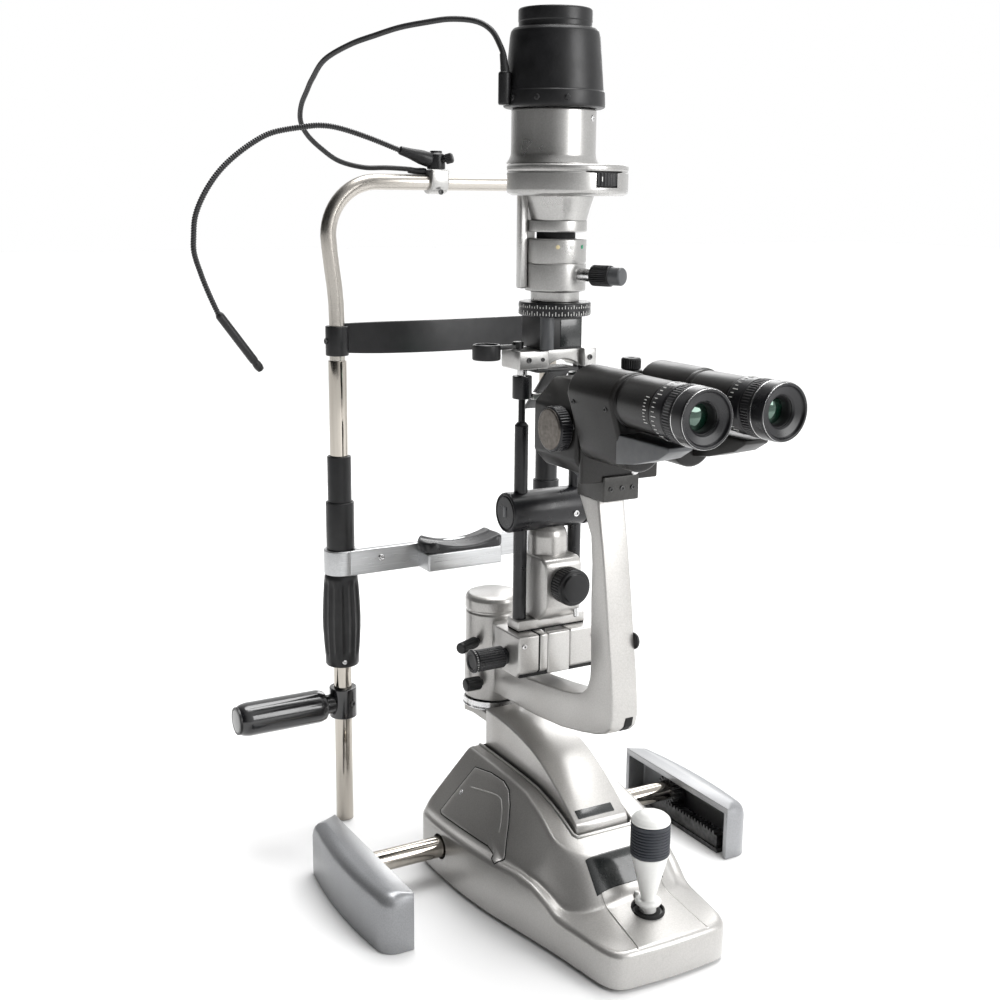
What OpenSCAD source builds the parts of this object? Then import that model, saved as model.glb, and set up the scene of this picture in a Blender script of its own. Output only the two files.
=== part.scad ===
// Slit lamp on a sliding base with its patient's headrest, built as separate pieces in millimetres.
// X runs across the table, +Y towards the patient, +Z up. The origin lies on the table, in the middle
// plane, under the cross axle.

/* [Stand] */
// Distance between the inner sides of the two rail covers
rail_gap = 303.4; // [302:1:308]
// Height of a rail cover
rail_h = 48; // [47:1:52]
// Distance between the two headrest posts
post_gap = 214; // [210:1:218]
// Distance of the posts behind the axle
post_y = 146; // [142:1:150]
// Diameter of a headrest post
post_d = 16; // [15:0.5:17]
// Height of the axis of the headrest's top bar
bow_top = 578; // [570:1:590]
// Diameter of the bent headrest tube
bow_d = 13.5; // [12:0.5:14]

/* [Base] */
// Diameter of the cross axle
axle_d = 18; // [16:1:18]
// Height of the axle above the table
axle_z = 29; // [29:1:29]
// Distance of the swivel axis behind the axle
swivel_y = 58.2; // [57:0.2:59]
// Distance of the joystick in front of the axle
stick_y = 185; // [182:1:188]

/* [Microscope] */
// Height of the microscope's optical axis
scope_z = 398; // [396:1:400]
// Distance between the centres of the two eyepiece faces
eye_gap = 64; // [60:1:68]
// Angle of each eyepiece axis to the middle plane
converge = 2.5; // [1:0.5:4]

/* [Lamp] */
// Half the distance between the two lamp columns
column_x = 25.7; // [25:0.1:26]
// Distance of the lamp's optical axis in front of the axle
lamp_y = 31; // [30:0.5:31.5]
// Radius of the round filter housing
filter_r = 46; // [45:0.5:47]
// Diameter of the lamp cable
cable_d = 4.3; // [4:0.1:5]

/* [Hidden] */
$fn = 72;
fit = 0.05;            // radial gap of a running fit
gap = 0.3;             // gap between pieces of different bodies
rail_x = rail_gap/2;
post_x = post_gap/2;
post_r = post_d/2;
sleeve_r = 10.5;
axle_r = axle_d/2;
hub_bore = 10 + fit;
tilt_z = 201;          // height of the lamp's tilt axis
head_y = -36;          // axis of the slit head
head_r = 15;           // radius of the slit head's inner tube
head_frame_r = 24.1;   // inner radius of the frame behind the slit head
eye_z = 431;           // height of the eyepieces
prism_x = 22;          // axis on which a prism house turns
chin_z = 236.3;

// Rack and toothed wheel
tooth_m = 1.4;
teeth = 17;
wheel_r = tooth_m*teeth/2;
tooth_p = PI*tooth_m;
play = 0.12;

// Outline of the base on the table: half widths and places from the rear to the front
foot_half = [[0,50],[60,49],[75,44],[82,30],[83,5],[81,-50],[71,-107],[62,-161],[57,-199],
             [52,-212],[44,-219],[0,-222]];
// Upper edge of the base housing: place and height
rim = [[31,99.5],[-18,99],[-68,97],[-99.5,89],[-127,78]];
rim_x = 36;

// Route of the gooseneck of the fixation lamp, in the plane of the headrest
neck_route = [[-47,605],[-74,614],[-100,621],[-118,623],[-136,621],[-161,616],[-179,607],[-197,594],
              [-210,581],[-221,565],[-228,549],[-230,533],[-230,520],[-225,503],[-219,487],[-212,471]];
neck_path = [for (p = neck_route) [p[0], post_y, p[1]]];
// Route of the lamp cable from the clamp on the top bar to the lamp's cap
cable_path = [[-22,151,587],[-34,152,589],[-54,155,590],[-74,159,590],[-95,163,595],[-110,166,605],
              [-122,167,616],[-129,164,627],[-132,154,639],[-133,138,650],[-134,124,658],[-133,100,671],
              [-122,75,681],[-109,56,687],[-96,40,692],[-82,24,695],[-68,10,697],[-54,-4,695],
              [-46,-14,688],[-42,-21,676],[-41,-25,667],[-41,-26,658.5]];

// ---- helpers ----

// A cylinder along X between two places
module rod_x(x0, x1, y, z, r) {
    translate([x0, y, z]) rotate([0, 90, 0]) cylinder(r = r, h = x1 - x0);
}

// A cylinder along Y between two places
module rod_y(y0, y1, x, z, r) {
    translate([x, y1, z]) rotate([90, 0, 0]) cylinder(r = r, h = y1 - y0);
}

// A cylinder along Z between two heights
module rod_z(z0, z1, x, y, r) {
    translate([x, y, z0]) cylinder(r = r, h = z1 - z0);
}

// A box given by its low and high corners
module block(lo, hi) {
    translate(lo) cube(hi - lo);
}

// An outline in the YZ plane, extruded along X
module yz_plate(points, x0, x1) {
    translate([x0, 0, 0]) rotate([90, 0, 90]) linear_extrude(x1 - x0) polygon(points);
}

// An outline in the XZ plane, extruded along Y
module xz_plate(points, y0, y1) {
    translate([0, y1, 0]) rotate([90, 0, 0]) linear_extrude(y1 - y0) polygon(points);
}

// A copy on each side of the middle plane
module both_sides() {
    children();
    mirror([1, 0, 0]) children();
}

// A closed outline from its right half
function whole(half) = concat(half, [for (i = [len(half) - 1 : -1 : 0]) [-half[i][0], half[i][1]]]);

// The base's outline, moved in by d and cut off at y_front
function foot(d, y_front = -999) = whole([for (p = foot_half)
    [max(0, p[0] - (p[0] > 0 ? d : 0)), max(y_front, p[1] > 20 ? p[1] - d : p[1] < -200 ? p[1] + d : p[1])]]);

// Point number k of a smooth curve with n steps between the points of a route
function pick(route, i) = route[max(0, min(len(route) - 1, i))];
function curve_at(route, k, n) = let (i = floor(k/n), t = k/n - floor(k/n),
    a = pick(route, i - 1), b = pick(route, i), c = pick(route, i + 1), d = pick(route, i + 2))
    0.5*((2*b) + (c - a)*t + (2*a - 5*b + 4*c - d)*t*t + (3*b - a - 3*c + d)*t*t*t);
function curve(route, n) = [for (k = [0 : (len(route) - 1)*n]) curve_at(route, k, n)];
function unit(v) = v/norm(v);

// A round tube along a route: one closed body
module sweep(route, r, n, sides, up) {
    path = curve(route, n);
    rings = len(path);
    points = [for (i = [0 : rings - 1])
        let (dir = unit(path[min(rings - 1, i + 1)] - path[max(0, i - 1)]),
             side = unit(cross(dir, up)), top = cross(side, dir))
        for (j = [0 : sides - 1]) path[i] + r*(cos(j*360/sides)*side + sin(j*360/sides)*top)];
    walls = [for (i = [0 : rings - 2], j = [0 : sides - 1])
        [i*sides + j, i*sides + (j + 1)%sides, (i + 1)*sides + (j + 1)%sides, (i + 1)*sides + j]];
    first = [for (j = [sides - 1 : -1 : 0]) j];
    last = [for (j = [0 : sides - 1]) (rings - 1)*sides + j];
    polyhedron(points, concat(walls, [first, last]), convexity = 10);
}

// ---- stand ----

// Rounded plan of a rail cover, moved in by d
module rail_plan(d) {
    corner = 14 - d;
    back = 62 - d;
    front = -92 + d;
    translate([rail_x, front]) square([30 - d - corner, back - front]);
    translate([rail_x, front + corner]) square([30 - d, back - front - corner]);
    translate([rail_x + 30 - d - corner, front + corner]) circle(r = corner);
}

// A body with a bulged outer side and a rounded top edge, moved in by d
module rail_solid(d) {
    bulge = 470;
    round_r = 10 - d;
    intersection() {
        translate([rail_x + 29.6 - bulge, -22, 0]) rotate_extrude($fn = 480) {
            square([bulge - d - round_r, rail_h - d]);
            square([bulge - d, rail_h - d - round_r]);
            translate([bulge - d - round_r, rail_h - d - round_r]) circle(r = round_r, $fn = 48);
        }
        linear_extrude(rail_h) rail_plan(d);
    }
}

module rail_cover() {
    difference() {
        rail_solid(0);
        translate([0, 0, -1]) rail_solid(5);
        block([rail_x - 1, -87, -1], [rail_x + 12, 57, 43]);
    }
}

module left_rail_cover() {
    color("gray") mirror([1, 0, 0]) rail_cover();
}

module right_rail_cover() {
    color("gray") rail_cover();
}

// One rack plate with its teeth and its two table holes
module rack_plate() {
    pitch_z = axle_z - wheel_r;
    root_z = axle_z - wheel_r - tooth_m - 0.4;
    difference() {
        union() {
            block([rail_x + 1, -78, 0], [rail_x + 18, 54, 4]);
            block([rail_x + 2.3, -76, 3], [rail_x + 10.3, 40, root_z]);
            for (k = [-16 : 8]) {
                tip = 1.3;
                low = pitch_z - root_z;
                wide = tooth_p/4 - play + (low + 0.5)*tan(20);
                slim = tooth_p/4 - play - tip*tan(20);
                yz_plate([[k*tooth_p - wide, root_z - 0.5], [k*tooth_p + wide, root_z - 0.5],
                    [k*tooth_p + slim, pitch_z + tip], [k*tooth_p - slim, pitch_z + tip]],
                    rail_x + 2.3, rail_x + 10.3);
            }
        }
        for (y = [-50, 50]) rod_z(-1, 5, 166.5, y, 2.75);
    }
}

module rack_plates() {
    color("dimgray") both_sides() rack_plate();
}

module headrest_posts() {
    color("silver") both_sides() difference() {
        rod_z(0, 427, post_x, post_y, post_r);
        rod_z(-1, 20, post_x, post_y, 4);
    }
}

// Fluted barrel round a post
module fluted_barrel(bore) {
    difference() {
        rotate_extrude() polygon([[bore, 151.3], [14.5, 151.3], [15, 152], [16, 165], [17, 190],
            [17, 200], [16, 222], [15, 235], [14.2, 236], [bore, 236]]);
        for (k = [0 : 15]) rotate(k*22.5) translate([17.6, 0, 160]) cylinder(r = 1.6, h = 68, $fn = 24);
    }
}

// The two fixed sleeves that the chin rest slides on, and the plain barrel on the right post
module post_sleeves() {
    color("black") {
        both_sides() difference() {
            rod_z(236.1, 343, post_x, post_y, sleeve_r);
            rod_z(230, 350, post_x, post_y, post_r);
        }
        translate([post_x, post_y, -0.1]) fluted_barrel(post_r);
    }
}

module height_grip() {
    color("black") translate([-post_x, post_y, 0]) difference() {
        fluted_barrel(post_r + fit);
        translate([0, 0, 235.7]) cylinder(r = sleeve_r + 1, h = 1);
    }
}

// Bend in the XZ plane round a centre, from angle a0 over a turn
module bend(cx, cz, bend_r, a0, turn) {
    translate([cx, post_y, cz]) rotate([90, 0, 0]) rotate([0, 0, a0])
        rotate_extrude(angle = turn) translate([bend_r, 0]) circle(r = bow_d/2);
}

// Half of the bent tube: a slight outward swing above the posts, then the corner
module bow_half() {
    swing = 150;
    lean = 12;
    corner = 45;
    out = post_x + 2*swing*(1 - cos(lean));
    z1 = 462;
    z2 = z1 + 2*swing*sin(lean);
    rod_z(427, z1, -post_x, post_y, bow_d/2);
    bend(-post_x - swing, z1, swing, 0, lean);
    bend(-out + swing, z2, swing, 180, lean);
    rod_z(z2, bow_top - corner, -out, post_y, bow_d/2);
    bend(-out + corner, bow_top - corner, corner, 90, 90);
    rod_x(-out + corner, 0, post_y, bow_top, bow_d/2);
}

module headrest_bow() {
    color("silver") both_sides() bow_half();
}

module forehead_band() {
    sag = 16;
    band_r = (post_x*post_x + sag*sag)/(2*sag);
    color("black") difference() {
        union() {
            intersection() {
                translate([0, post_y - sag + band_r, 432]) difference() {
                    cylinder(r = band_r, h = 28, $fn = 360);
                    translate([0, 0, -1]) cylinder(r = band_r - 4, h = 30, $fn = 360);
                }
                block([-post_x, 120, 430], [post_x, post_y, 462]);
            }
            both_sides() rod_z(431, 457, post_x, post_y, 10);
        }
        both_sides() rod_z(425, 462, post_x, post_y, bow_d/2);
    }
}

module handle_hub() {
    color("silver") difference() {
        union() {
            rod_z(101, 129, -post_x, post_y, 12.5);
            rod_x(-150, -post_x, post_y, 114, 8);
        }
        rod_z(100, 130, -post_x, post_y, post_r);
    }
}

module handle_grip() {
    color("black") difference() {
        translate([-209, post_y, 114]) rotate([0, 90, 0]) rotate_extrude()
            polygon([[0, 0], [13.5, 0], [15, 1.5], [15, 78], [13, 84], [0, 84]]);
        rod_x(-150, -120, post_y, 114, 8);
    }
}

module lamp_clamp() {
    color("dimgray") difference() {
        union() {
            block([-20, post_y - 10, bow_top - 10], [-3, post_y + 10, bow_top + 11]);
            rod_x(-22, -20, 151, bow_top + 9, 3.5);
        }
        rod_x(-30, 0, post_y, bow_top, bow_d/2);
        rod_z(bow_top + 7.2, bow_top + 12, -11, post_y, 3 + fit);
    }
}

module lamp_cable() {
    color("black") sweep(cable_path, cable_d/2, 2, 8, [0.6, -0.7, 0.4]);
}

// ---- chin rest ----

module chin_bracket() {
    color("gainsboro") difference() {
        union() {
            both_sides() rod_z(chin_z, 259, post_x, post_y, 15);
            block([-post_x, 131, chin_z], [post_x, 139, 259]);
            block([-38, 108, chin_z], [38, 133, 254]);
        }
        both_sides() rod_z(230, 262, post_x, post_y, sleeve_r + 0.1);
        rod_z(240, 256, 0, 118, 4);
    }
}

module chin_collars() {
    color("black") both_sides() difference() {
        rod_z(259, 302, post_x, post_y, 12.5);
        rod_z(255, 305, post_x, post_y, sleeve_r + 0.1);
    }
}

// Chin cup: a shallow crescent tray on a peg
module chin_cup() {
    color("black") difference() {
        union() {
            rod_z(240, 256, 0, 118, 4);
            translate([0, 122, 254]) intersection() {
                cylinder(r = 40, h = 12);
                block([-40, -18, 0], [40, 16, 13]);
            }
        }
        translate([0, 118, 258 + 90]) rotate([90, 0, 0]) translate([0, 0, -30]) cylinder(r = 90, h = 60, $fn = 180);
    }
}

// ---- fixation lamp ----

module fixation_joint() {
    color("black") {
        rod_z(bow_top + 7.4, bow_top + 12, -11, post_y, 3);
        rod_z(bow_top + 11.3, bow_top + 24, -11, post_y, 8);
        rod_z(bow_top + 24, bow_top + 27, -11, post_y, 5);
        translate([-11, post_y, 595.5]) rotate([0, -75.2, 0]) cylinder(r1 = 6.5, r2 = 3.5, h = 37.4);
    }
}

module gooseneck() {
    color("black") sweep(neck_path, 2.5, 3, 10, [0, 1, 0]);
}

module fixation_wand() {
    color("black") translate([-212, post_y, 471]) rotate([0, 143.7, 0]) {
        cylinder(r = 3.7, h = 58);
        translate([0, 0, 58]) cylinder(r = 3, h = 3);
    }
}

// ---- carriage and axle ----

module axle_guides() {
    color("dimgray") both_sides() difference() {
        block([rail_x + 11.5, -8, 4 + gap], [rail_x + 17.5, 8, 38]);
        rod_x(rail_x + 10, rail_x + 19, 0, axle_z, 4 + fit);
    }
}

module axle() {
    color("silver") {
        rod_x(-rail_x - 1.5, rail_x + 1.5, 0, axle_z, axle_r);
        rod_x(-rail_x - 11, rail_x + 11, 0, axle_z, 6);
        rod_x(-rail_x - 17, rail_x + 17, 0, axle_z, 4);
    }
}

function invo(a) = tan(a)*180/PI - a;
function flank(r, base_r) = 90/teeth - play/wheel_r*180/PI/2 + invo(20) - invo(acos(min(1, base_r/r)));

// Outline of the toothed wheel with involute flanks, with a gap at the bottom
function wheel_points() = let (base_r = wheel_r*cos(20), root = wheel_r - 1.9, tip = wheel_r + tooth_m,
    rs = [base_r, base_r + 0.5, wheel_r, wheel_r + 0.8, tip])
    [for (k = [0 : teeth - 1]) let (mid = 270 + (k + 0.5)*360/teeth) each concat(
        [root*[cos(mid - flank(base_r, base_r)), sin(mid - flank(base_r, base_r))]],
        [for (r = rs) r*[cos(mid - flank(r, base_r)), sin(mid - flank(r, base_r))]],
        [for (i = [4 : -1 : 0]) rs[i]*[cos(mid + flank(rs[i], base_r)), sin(mid + flank(rs[i], base_r))]],
        [root*[cos(mid + flank(base_r, base_r)), sin(mid + flank(base_r, base_r))]])];

module toothed_wheels() {
    color("black") both_sides() translate([rail_x + 2.5, 0, axle_z]) rotate([90, 0, 90]) difference() {
        linear_extrude(7.5) polygon(wheel_points());
        translate([0, 0, -1]) cylinder(r = 6, h = 10);
    }
}

// ---- base ----

module base_shell() {
    color("gray") difference() {
        union() {
            hull() {
                translate([0, 0, 3]) linear_extrude(25) polygon(foot(0));
                translate([0, 0, 31]) linear_extrude(0.1) polygon(foot(2.5));
                translate([0, 0, 43]) linear_extrude(0.1) polygon(foot(6, -172));
            }
            hull() {
                translate([0, 0, 42]) linear_extrude(1) polygon(foot(6, -167));
                for (p = rim) translate([-rim_x, p[0], p[1]]) cube([2*rim_x, 0.1, 0.1]);
            }
        }
        hull() {
            translate([0, 0, 2]) linear_extrude(36) polygon(foot(9, -158));
            for (p = rim) translate([5 - rim_x, p[0], p[1] - 6]) cube([2*rim_x - 10, 0.1, 0.1]);
        }
        block([-44, -212, 2], [44, -150, 26]);
        block([-27, -124.5, 20], [27, 28, 120]);
        rod_x(-18, 18, -stick_y, 33.5, 2 + fit);
        rod_z(20, 60, 0, -stick_y, 13);
        rod_x(-90, 90, 0, axle_z, axle_r + 2);
    }
}

// Bottom plate with the axle's bearing blocks and the glide foot at the front
module base_plate() {
    color("dimgray") difference() {
        union() {
            translate([0, 0, 3]) linear_extrude(3) polygon(foot(9.3, -157.7));
            block([-43.7, -211.7, 3], [43.7, -150, 6]);
            both_sides() block([54, -14, 5], [66, 14, 44]);
            rod_z(0, 4, 0, -stick_y - 8, 13);
        }
        rod_x(-90, 90, 0, axle_z, axle_r + fit);
    }
}

module lift_guide() {
    color("dimgray") difference() {
        rod_z(6, 62, 0, -60, 18);
        rod_z(5, 63, 0, -60, 13 + fit);
    }
}

// ---- joystick ----

module joystick_gimbal() {
    color("dimgray") difference() {
        union() {
            rod_z(29, 38, 0, -stick_y, 11.5);
            rod_x(-17, 17, -stick_y, 33.5, 2);
        }
        translate([0, -stick_y, 33.5]) sphere(r = 8 + gap);
        rod_z(26, 40, 0, -stick_y, 7.5);
    }
}

// Ball, stem, collar and cone in one piece
module joystick_cone() {
    color("white") translate([0, -stick_y, 0]) {
        translate([0, 0, 33.5]) sphere(r = 8);
        translate([0, 0, 35]) cylinder(r = 5, h = 12);
        translate([0, 0, 44.5]) cylinder(r = 10, h = 3);
        translate([0, 0, 47.5]) cylinder(r1 = 6, r2 = 14.5, h = 38);
        translate([0, 0, 85.5]) cylinder(r = 6, h = 28);
    }
}

module joystick_sleeve() {
    color("darkslategray") translate([0, -stick_y, 0]) difference() {
        union() {
            translate([0, 0, 85.8]) cylinder(r = 14, h = 25.5);
            for (k = [0 : 8]) translate([0, 0, 86.4 + k*2.75]) cylinder(r = 15, h = 1.6);
        }
        translate([0, 0, 85]) cylinder(r = 6 + fit, h = 30);
    }
}

module joystick_cap() {
    color("whitesmoke") translate([0, -stick_y, 0]) difference() {
        intersection() {
            translate([0, 0, 111.4]) cylinder(r = 15, h = 9);
            translate([0, 0, 97.5]) sphere(r = 22);
        }
        translate([0, 0, 110]) cylinder(r = 6 + fit, h = 3.6);
    }
}

// ---- lift ----

module wedge_cover() {
    outer = [[26, 58], [26, 133], [-12, 132], [-49, 125], [-78, 113], [-100, 99.5], [-120, 86],
             [-121.5, 70], [-121.5, 58]];
    inner = [[22, 57], [22, 129], [-11, 128], [-47, 121.2], [-76, 109.5], [-97.5, 96.3], [-116.5, 83.5],
             [-117.5, 70], [-117.5, 57]];
    color("gray") difference() {
        union() {
            yz_plate(outer, -24.7, 24.7);
            block([-20, 22, 117], [20, 40, 133]);
            block([-20, 22, 118], [20, swivel_y, 126]);
            rod_z(118, 126, 0, swivel_y, 25);
        }
        yz_plate(inner, -21, 21);
        rod_z(126, 140, 0, swivel_y, 26.5);
        rod_z(110, 130, 0, swivel_y, 10);
    }
}

// Round post of the two arms with its collar, the column that rises in the guide, and the cross plate
// that carries the cover
module swivel_post() {
    color("silver") {
        rod_z(118, 211.7, 0, swivel_y, 10);
        rod_z(126, 133, 0, swivel_y, 26.5);
        rod_z(22, 110, 0, -60, 13);
        block([-20.95, -66, 104], [20.95, -54, 110]);
    }
}

// ---- microscope ----

module microscope_arm() {
    outline = [[36, 143], [-37, 146], [-75, 150], [-113, 158], [-134, 164], [-145, 171], [-148, 179],
               [-146, 197], [-141, 235], [-135, 273], [-121, 347], [-94, 347], [-114, 314],
               [-114, 267], [-116, 219], [-115, 203], [-108, 192], [-95, 186], [-58, 179],
               [0, 172], [15, 169], [36, 169]];
    color("gray") difference() {
        union() {
            yz_plate(outline, -12, 12);
            rod_z(134, 172, 0, swivel_y, 25);
            rod_x(12, 15, -139, 238, 7);
        }
        rod_z(130, 175, 0, swivel_y, hub_bore);
        rod_x(-40, -5, 38, 153, 3 + fit);
    }
}

module microscope_lock_knob() {
    color("black") {
        rod_x(-23, -6, 38, 153, 3);
        rod_x(-38.5, -21.5, 38, 153, 6);
    }
}

module microscope_bracket() {
    color("silver") block([-16, -134, 347], [16, -98, 367]);
}

// Body with its objective ring, the two light channels and the web that carries the binocular
module microscope_body() {
    section = [[18, 434], [37, 415], [37, 378], [26, 367], [-26, 367], [-37, 378], [-37, 415], [-18, 434]];
    color("black") difference() {
        union() {
            xz_plate(section, -128, -68);
            rod_y(-70, -64, 0, scope_z, 19);
            block([-34, -132, 367], [34, -128, 440]);
            block([-3.8, -150, 380], [3.8, -130, 446]);
            rod_z(443, 446, 0, -141.5, 8.4);
        }
        for (x = [-11, 11]) rod_y(-140, -60, x, scope_z, 7.5);
        rod_x(-50, 50, -108, scope_z + 3, 15 + fit);
        rod_z(430, 450, 0, -141.5, 2.5 + fit);
    }
}

// The two knobs on the drum between them
module magnification_knobs() {
    color("black") difference() {
        union() {
            rod_x(-48.8, 48.8, -108, scope_z + 3, 15);
            both_sides() rod_x(37 + gap, 48.8, -108, scope_z + 3, 17);
        }
        for (x = [-11, 11]) rod_y(-130, -90, x, scope_z, 7.5);
    }
}

module binocular_screw() {
    color("black") {
        rod_z(432, 447, 0, -141.5, 2.5);
        rod_z(446 + gap, 455, 0, -141.5, 7.25);
    }
}

// Frame of the left eyepiece: its axis runs along -Y of this frame
eye_x = eye_gap/2 - 85*sin(converge);
module eye_frame() {
    translate([-eye_x, -188, eye_z]) rotate([0, 0, -converge]) children();
}

// Prism house and eyepiece tube of the left side
module barrel() {
    difference() {
        union() {
            hull() {
                rod_y(-190, -133, -prism_x, scope_z, 17.5);
                rod_y(-190, -133, -30, eye_z, 20);
            }
            eye_frame() rod_y(-46, 2, 0, 0, 19);
            eye_frame() rod_y(-64, -44, 0, 0, 16);
        }
        rod_y(-150, -132, -prism_x, scope_z, 7.5);
        eye_frame() rod_y(-66, -10, 0, 0, 12);
    }
}

module left_barrel() {
    color("black") barrel();
}

module right_barrel() {
    color("black") mirror([1, 0, 0]) barrel();
}

// Dioptre ring and eyecup of the left side
module dioptre_ring() {
    eye_frame() difference() {
        union() {
            rod_y(-74, -46 - gap, 0, 0, 20.5);
            rod_y(-85, -74, 0, 0, 20);
        }
        rod_y(-65, -40, 0, 0, 16 + fit);
        rod_y(-90, -60, 0, 0, 13);
    }
}

module left_dioptre_ring() {
    color("black") dioptre_ring();
}

module right_dioptre_ring() {
    color("black") mirror([1, 0, 0]) dioptre_ring();
}

// ---- lamp arm ----

module illumination_arm() {
    color("gray") difference() {
        union() {
            rod_z(174, 212, 0, swivel_y, 24);
            rod_z(212, 213.7, 0, swivel_y, 23);
            rod_z(213.7, 225, 0, swivel_y, 24.5);
            translate([0, swivel_y, 225]) cylinder(r1 = 24.5, r2 = 21.5, h = 2.4);
            block([-14, -8, 184], [14, 40, 208]);
            block([-9.8, -lamp_y, 189], [9.8, 0, 208]);
            rod_x(-9.8, 9.8, -lamp_y, tilt_z, 12);
        }
        rod_z(170, 212, 0, swivel_y, hub_bore);
        rod_x(-12, 12, -lamp_y, tilt_z, 5 + fit);
        translate([0, swivel_y, 188]) rotate([0, 0, 207.3]) rod_x(13, 30, 0, 0, 3 + fit);
    }
}

module lamp_lock_knob() {
    color("black") translate([0, swivel_y, 188]) rotate([0, 0, 207.3]) {
        rod_x(13.5, 29, 0, 0, 3);
        rod_x(28, 50.5, 0, 0, 5);
    }
}

// ---- lamp foot ----

module cross_block() {
    side = [[-12, 190], [-12, 222], [-52, 222], [-52, 192], [-47, 187], [-15, 187]];
    color("gray") difference() {
        yz_plate(side, -38, 38);
        block([-10.1, -46, 180], [10.1, 0, 230]);
        rod_x(-45, 45, -lamp_y, tilt_z, 5 + fit);
    }
}

module slit_knobs() {
    color("black") {
        rod_x(-45, 45, -lamp_y, tilt_z, 5);
        both_sides() {
            rod_x(38 + gap, 42, -lamp_y, tilt_z, 7);
            rod_x(41, 68, -lamp_y, tilt_z, 9);
            rod_x(67, 70, -lamp_y, tilt_z, 9.6);
        }
    }
}

// Foot bar with the two columns and their thin upper rods
module lamp_columns() {
    color("black") {
        block([-32, -40, 222], [32, -22, 231.5]);
        both_sides() {
            rod_z(230, 391, column_x, -lamp_y, 5.5);
            translate([column_x, -lamp_y, 391]) cylinder(r1 = 5.5, r2 = 4, h = 2);
            rod_z(392, 429, column_x, -lamp_y, 2.75);
        }
    }
}

module cross_cylinder() {
    color("black") difference() {
        union() {
            rod_x(-40, 28.5, -lamp_y, 321, 16.25);
            rod_x(28, 30.5, -lamp_y, 321, 15.2);
            rod_x(30, 36, -lamp_y, 321, 16.25);
        }
        both_sides() rod_z(300, 340, column_x, -lamp_y, 5.5);
    }
}

module tower() {
    ledge = [[-22, 231.5], [-22, 285], [-57, 285], [-57, 240], [-50, 236], [-44, 231.5]];
    color("gray") difference() {
        union() {
            rod_z(231.5, 308, 0, -lamp_y, 16);
            yz_plate(ledge, -17.5, 17.5);
        }
        rod_x(-30, 30, -lamp_y, 321, 16.25);
        rod_y(-60, -48, 0, 264, 4 + fit);
    }
}

module centring_knob() {
    color("black") {
        rod_y(-60, -49, 0, 264, 4);
        rod_y(-60.5, -57 - gap, 0, 264, 8);
        rod_y(-74, -60, 0, 264, 15);
        rod_y(-76, -73, 0, 264, 11.5);
    }
}

// ---- lamp head ----

module yoke() {
    color("silver") difference() {
        union() {
            block([-37, -45, 436], [-9.6, -17, 451]);
            block([22, -45, 436], [34.5, -17, 451]);
            block([-10, -36, 436], [23, -17, 451]);
            both_sides() {
                rod_z(412, 430, column_x, -lamp_y, 7.7);
                rod_z(430, 437, column_x, -lamp_y, 4);
            }
        }
        both_sides() rod_z(400, 429, column_x, -lamp_y, 2.75);
        rod_z(430, 460, 0, -lamp_y, 8);
        rod_z(440, 460, -30, -lamp_y, 2 + fit);
    }
}

// Mirror slab at 45 degrees under its holder plate
module mirror_slab() {
    color("lightblue") difference() {
        union() {
            block([-19, -43, 433], [19, -19, 436]);
            yz_plate([[-43, 433.5], [-38.8, 433.5], [-7.9, 402.6], [-10, 400.5]], -9.5, 9.5);
        }
        rod_z(432.9, 440, 0, -lamp_y, 8);
    }
}

// Black box over the mirror with the inner tube of the slit head
module prism_box() {
    color("black") difference() {
        union() {
            block([-17, -50, 451], [17, -14, 477]);
            rod_z(476, 568, 0, head_y, head_r);
        }
        rod_z(450, 569, 0, head_y + 3, 9);
    }
}

module dial_ring() {
    color("dimgray") difference() {
        rod_z(477, 487.8, 0, head_y, 28);
        rod_z(470, 490, 0, head_y, head_r);
    }
}

lever_turn = -66.5;
module slit_cylinder() {
    color("silver") difference() {
        union() {
            rod_z(487.8 + gap, 496.5, 0, head_y, 19);
            rod_z(496, 536, 0, head_y, 23.75);
        }
        rod_z(480, 540, 0, head_y, head_r + fit);
        translate([0, head_y, 509]) rotate([0, 0, lever_turn]) rod_x(18, 30, 0, 0, 4);
    }
}

module slit_lever() {
    color("black") translate([0, head_y, 509]) rotate([0, 0, lever_turn]) {
        rod_x(18, 36, 0, 0, 4);
        rod_x(35, 52, 0, 0, 8);
        rod_x(52, 62, 0, 0, 6.5);
    }
}

wheel_x = 1.2;
wheel_y = -59.7;
// Curved frame behind the slit head, between two angles from +X
module head_frame() {
    reach = 60;
    intersection() {
        difference() {
            rod_z(498, 569, 0, head_y, 30.5);
            rod_z(490, 570, 0, head_y, head_frame_r);
        }
        translate([0, head_y, 497]) linear_extrude(72)
            polygon([[0, 0], for (a = [100, 138, 176]) reach*[cos(a), sin(a)]]);
    }
}

// Cone and round filter housing with the room for the filter wheel
module filter_disc() {
    color("silver") difference() {
        union() {
            rod_z(541, 551, 0, head_y, 23.75);
            translate([0, head_y - 4, 550]) cylinder(r1 = 22, r2 = 26.5, h = 18.5);
            rod_z(568, 591, 0, -51, filter_r);
            head_frame();
        }
        rod_z(540, 568, 0, head_y, head_r);
        rod_z(560, 595, 0, head_y + 3, 9);
        difference() {
            rod_z(574, 586, wheel_x, wheel_y, 37.5);
            rod_z(573, 587, wheel_x, wheel_y, 3);
        }
    }
}

module filter_wheel() {
    color("black") difference() {
        rod_z(574 + gap, 586 - gap, wheel_x, wheel_y, 37);
        rod_z(570, 590, wheel_x, wheel_y, 3 + fit);
        for (k = [0 : 5]) translate([wheel_x, wheel_y, 570]) rotate(92.6 + k*60) translate([26.7, 0, 0])
            cylinder(r = 4 + k, h = 20);
    }
}

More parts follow.
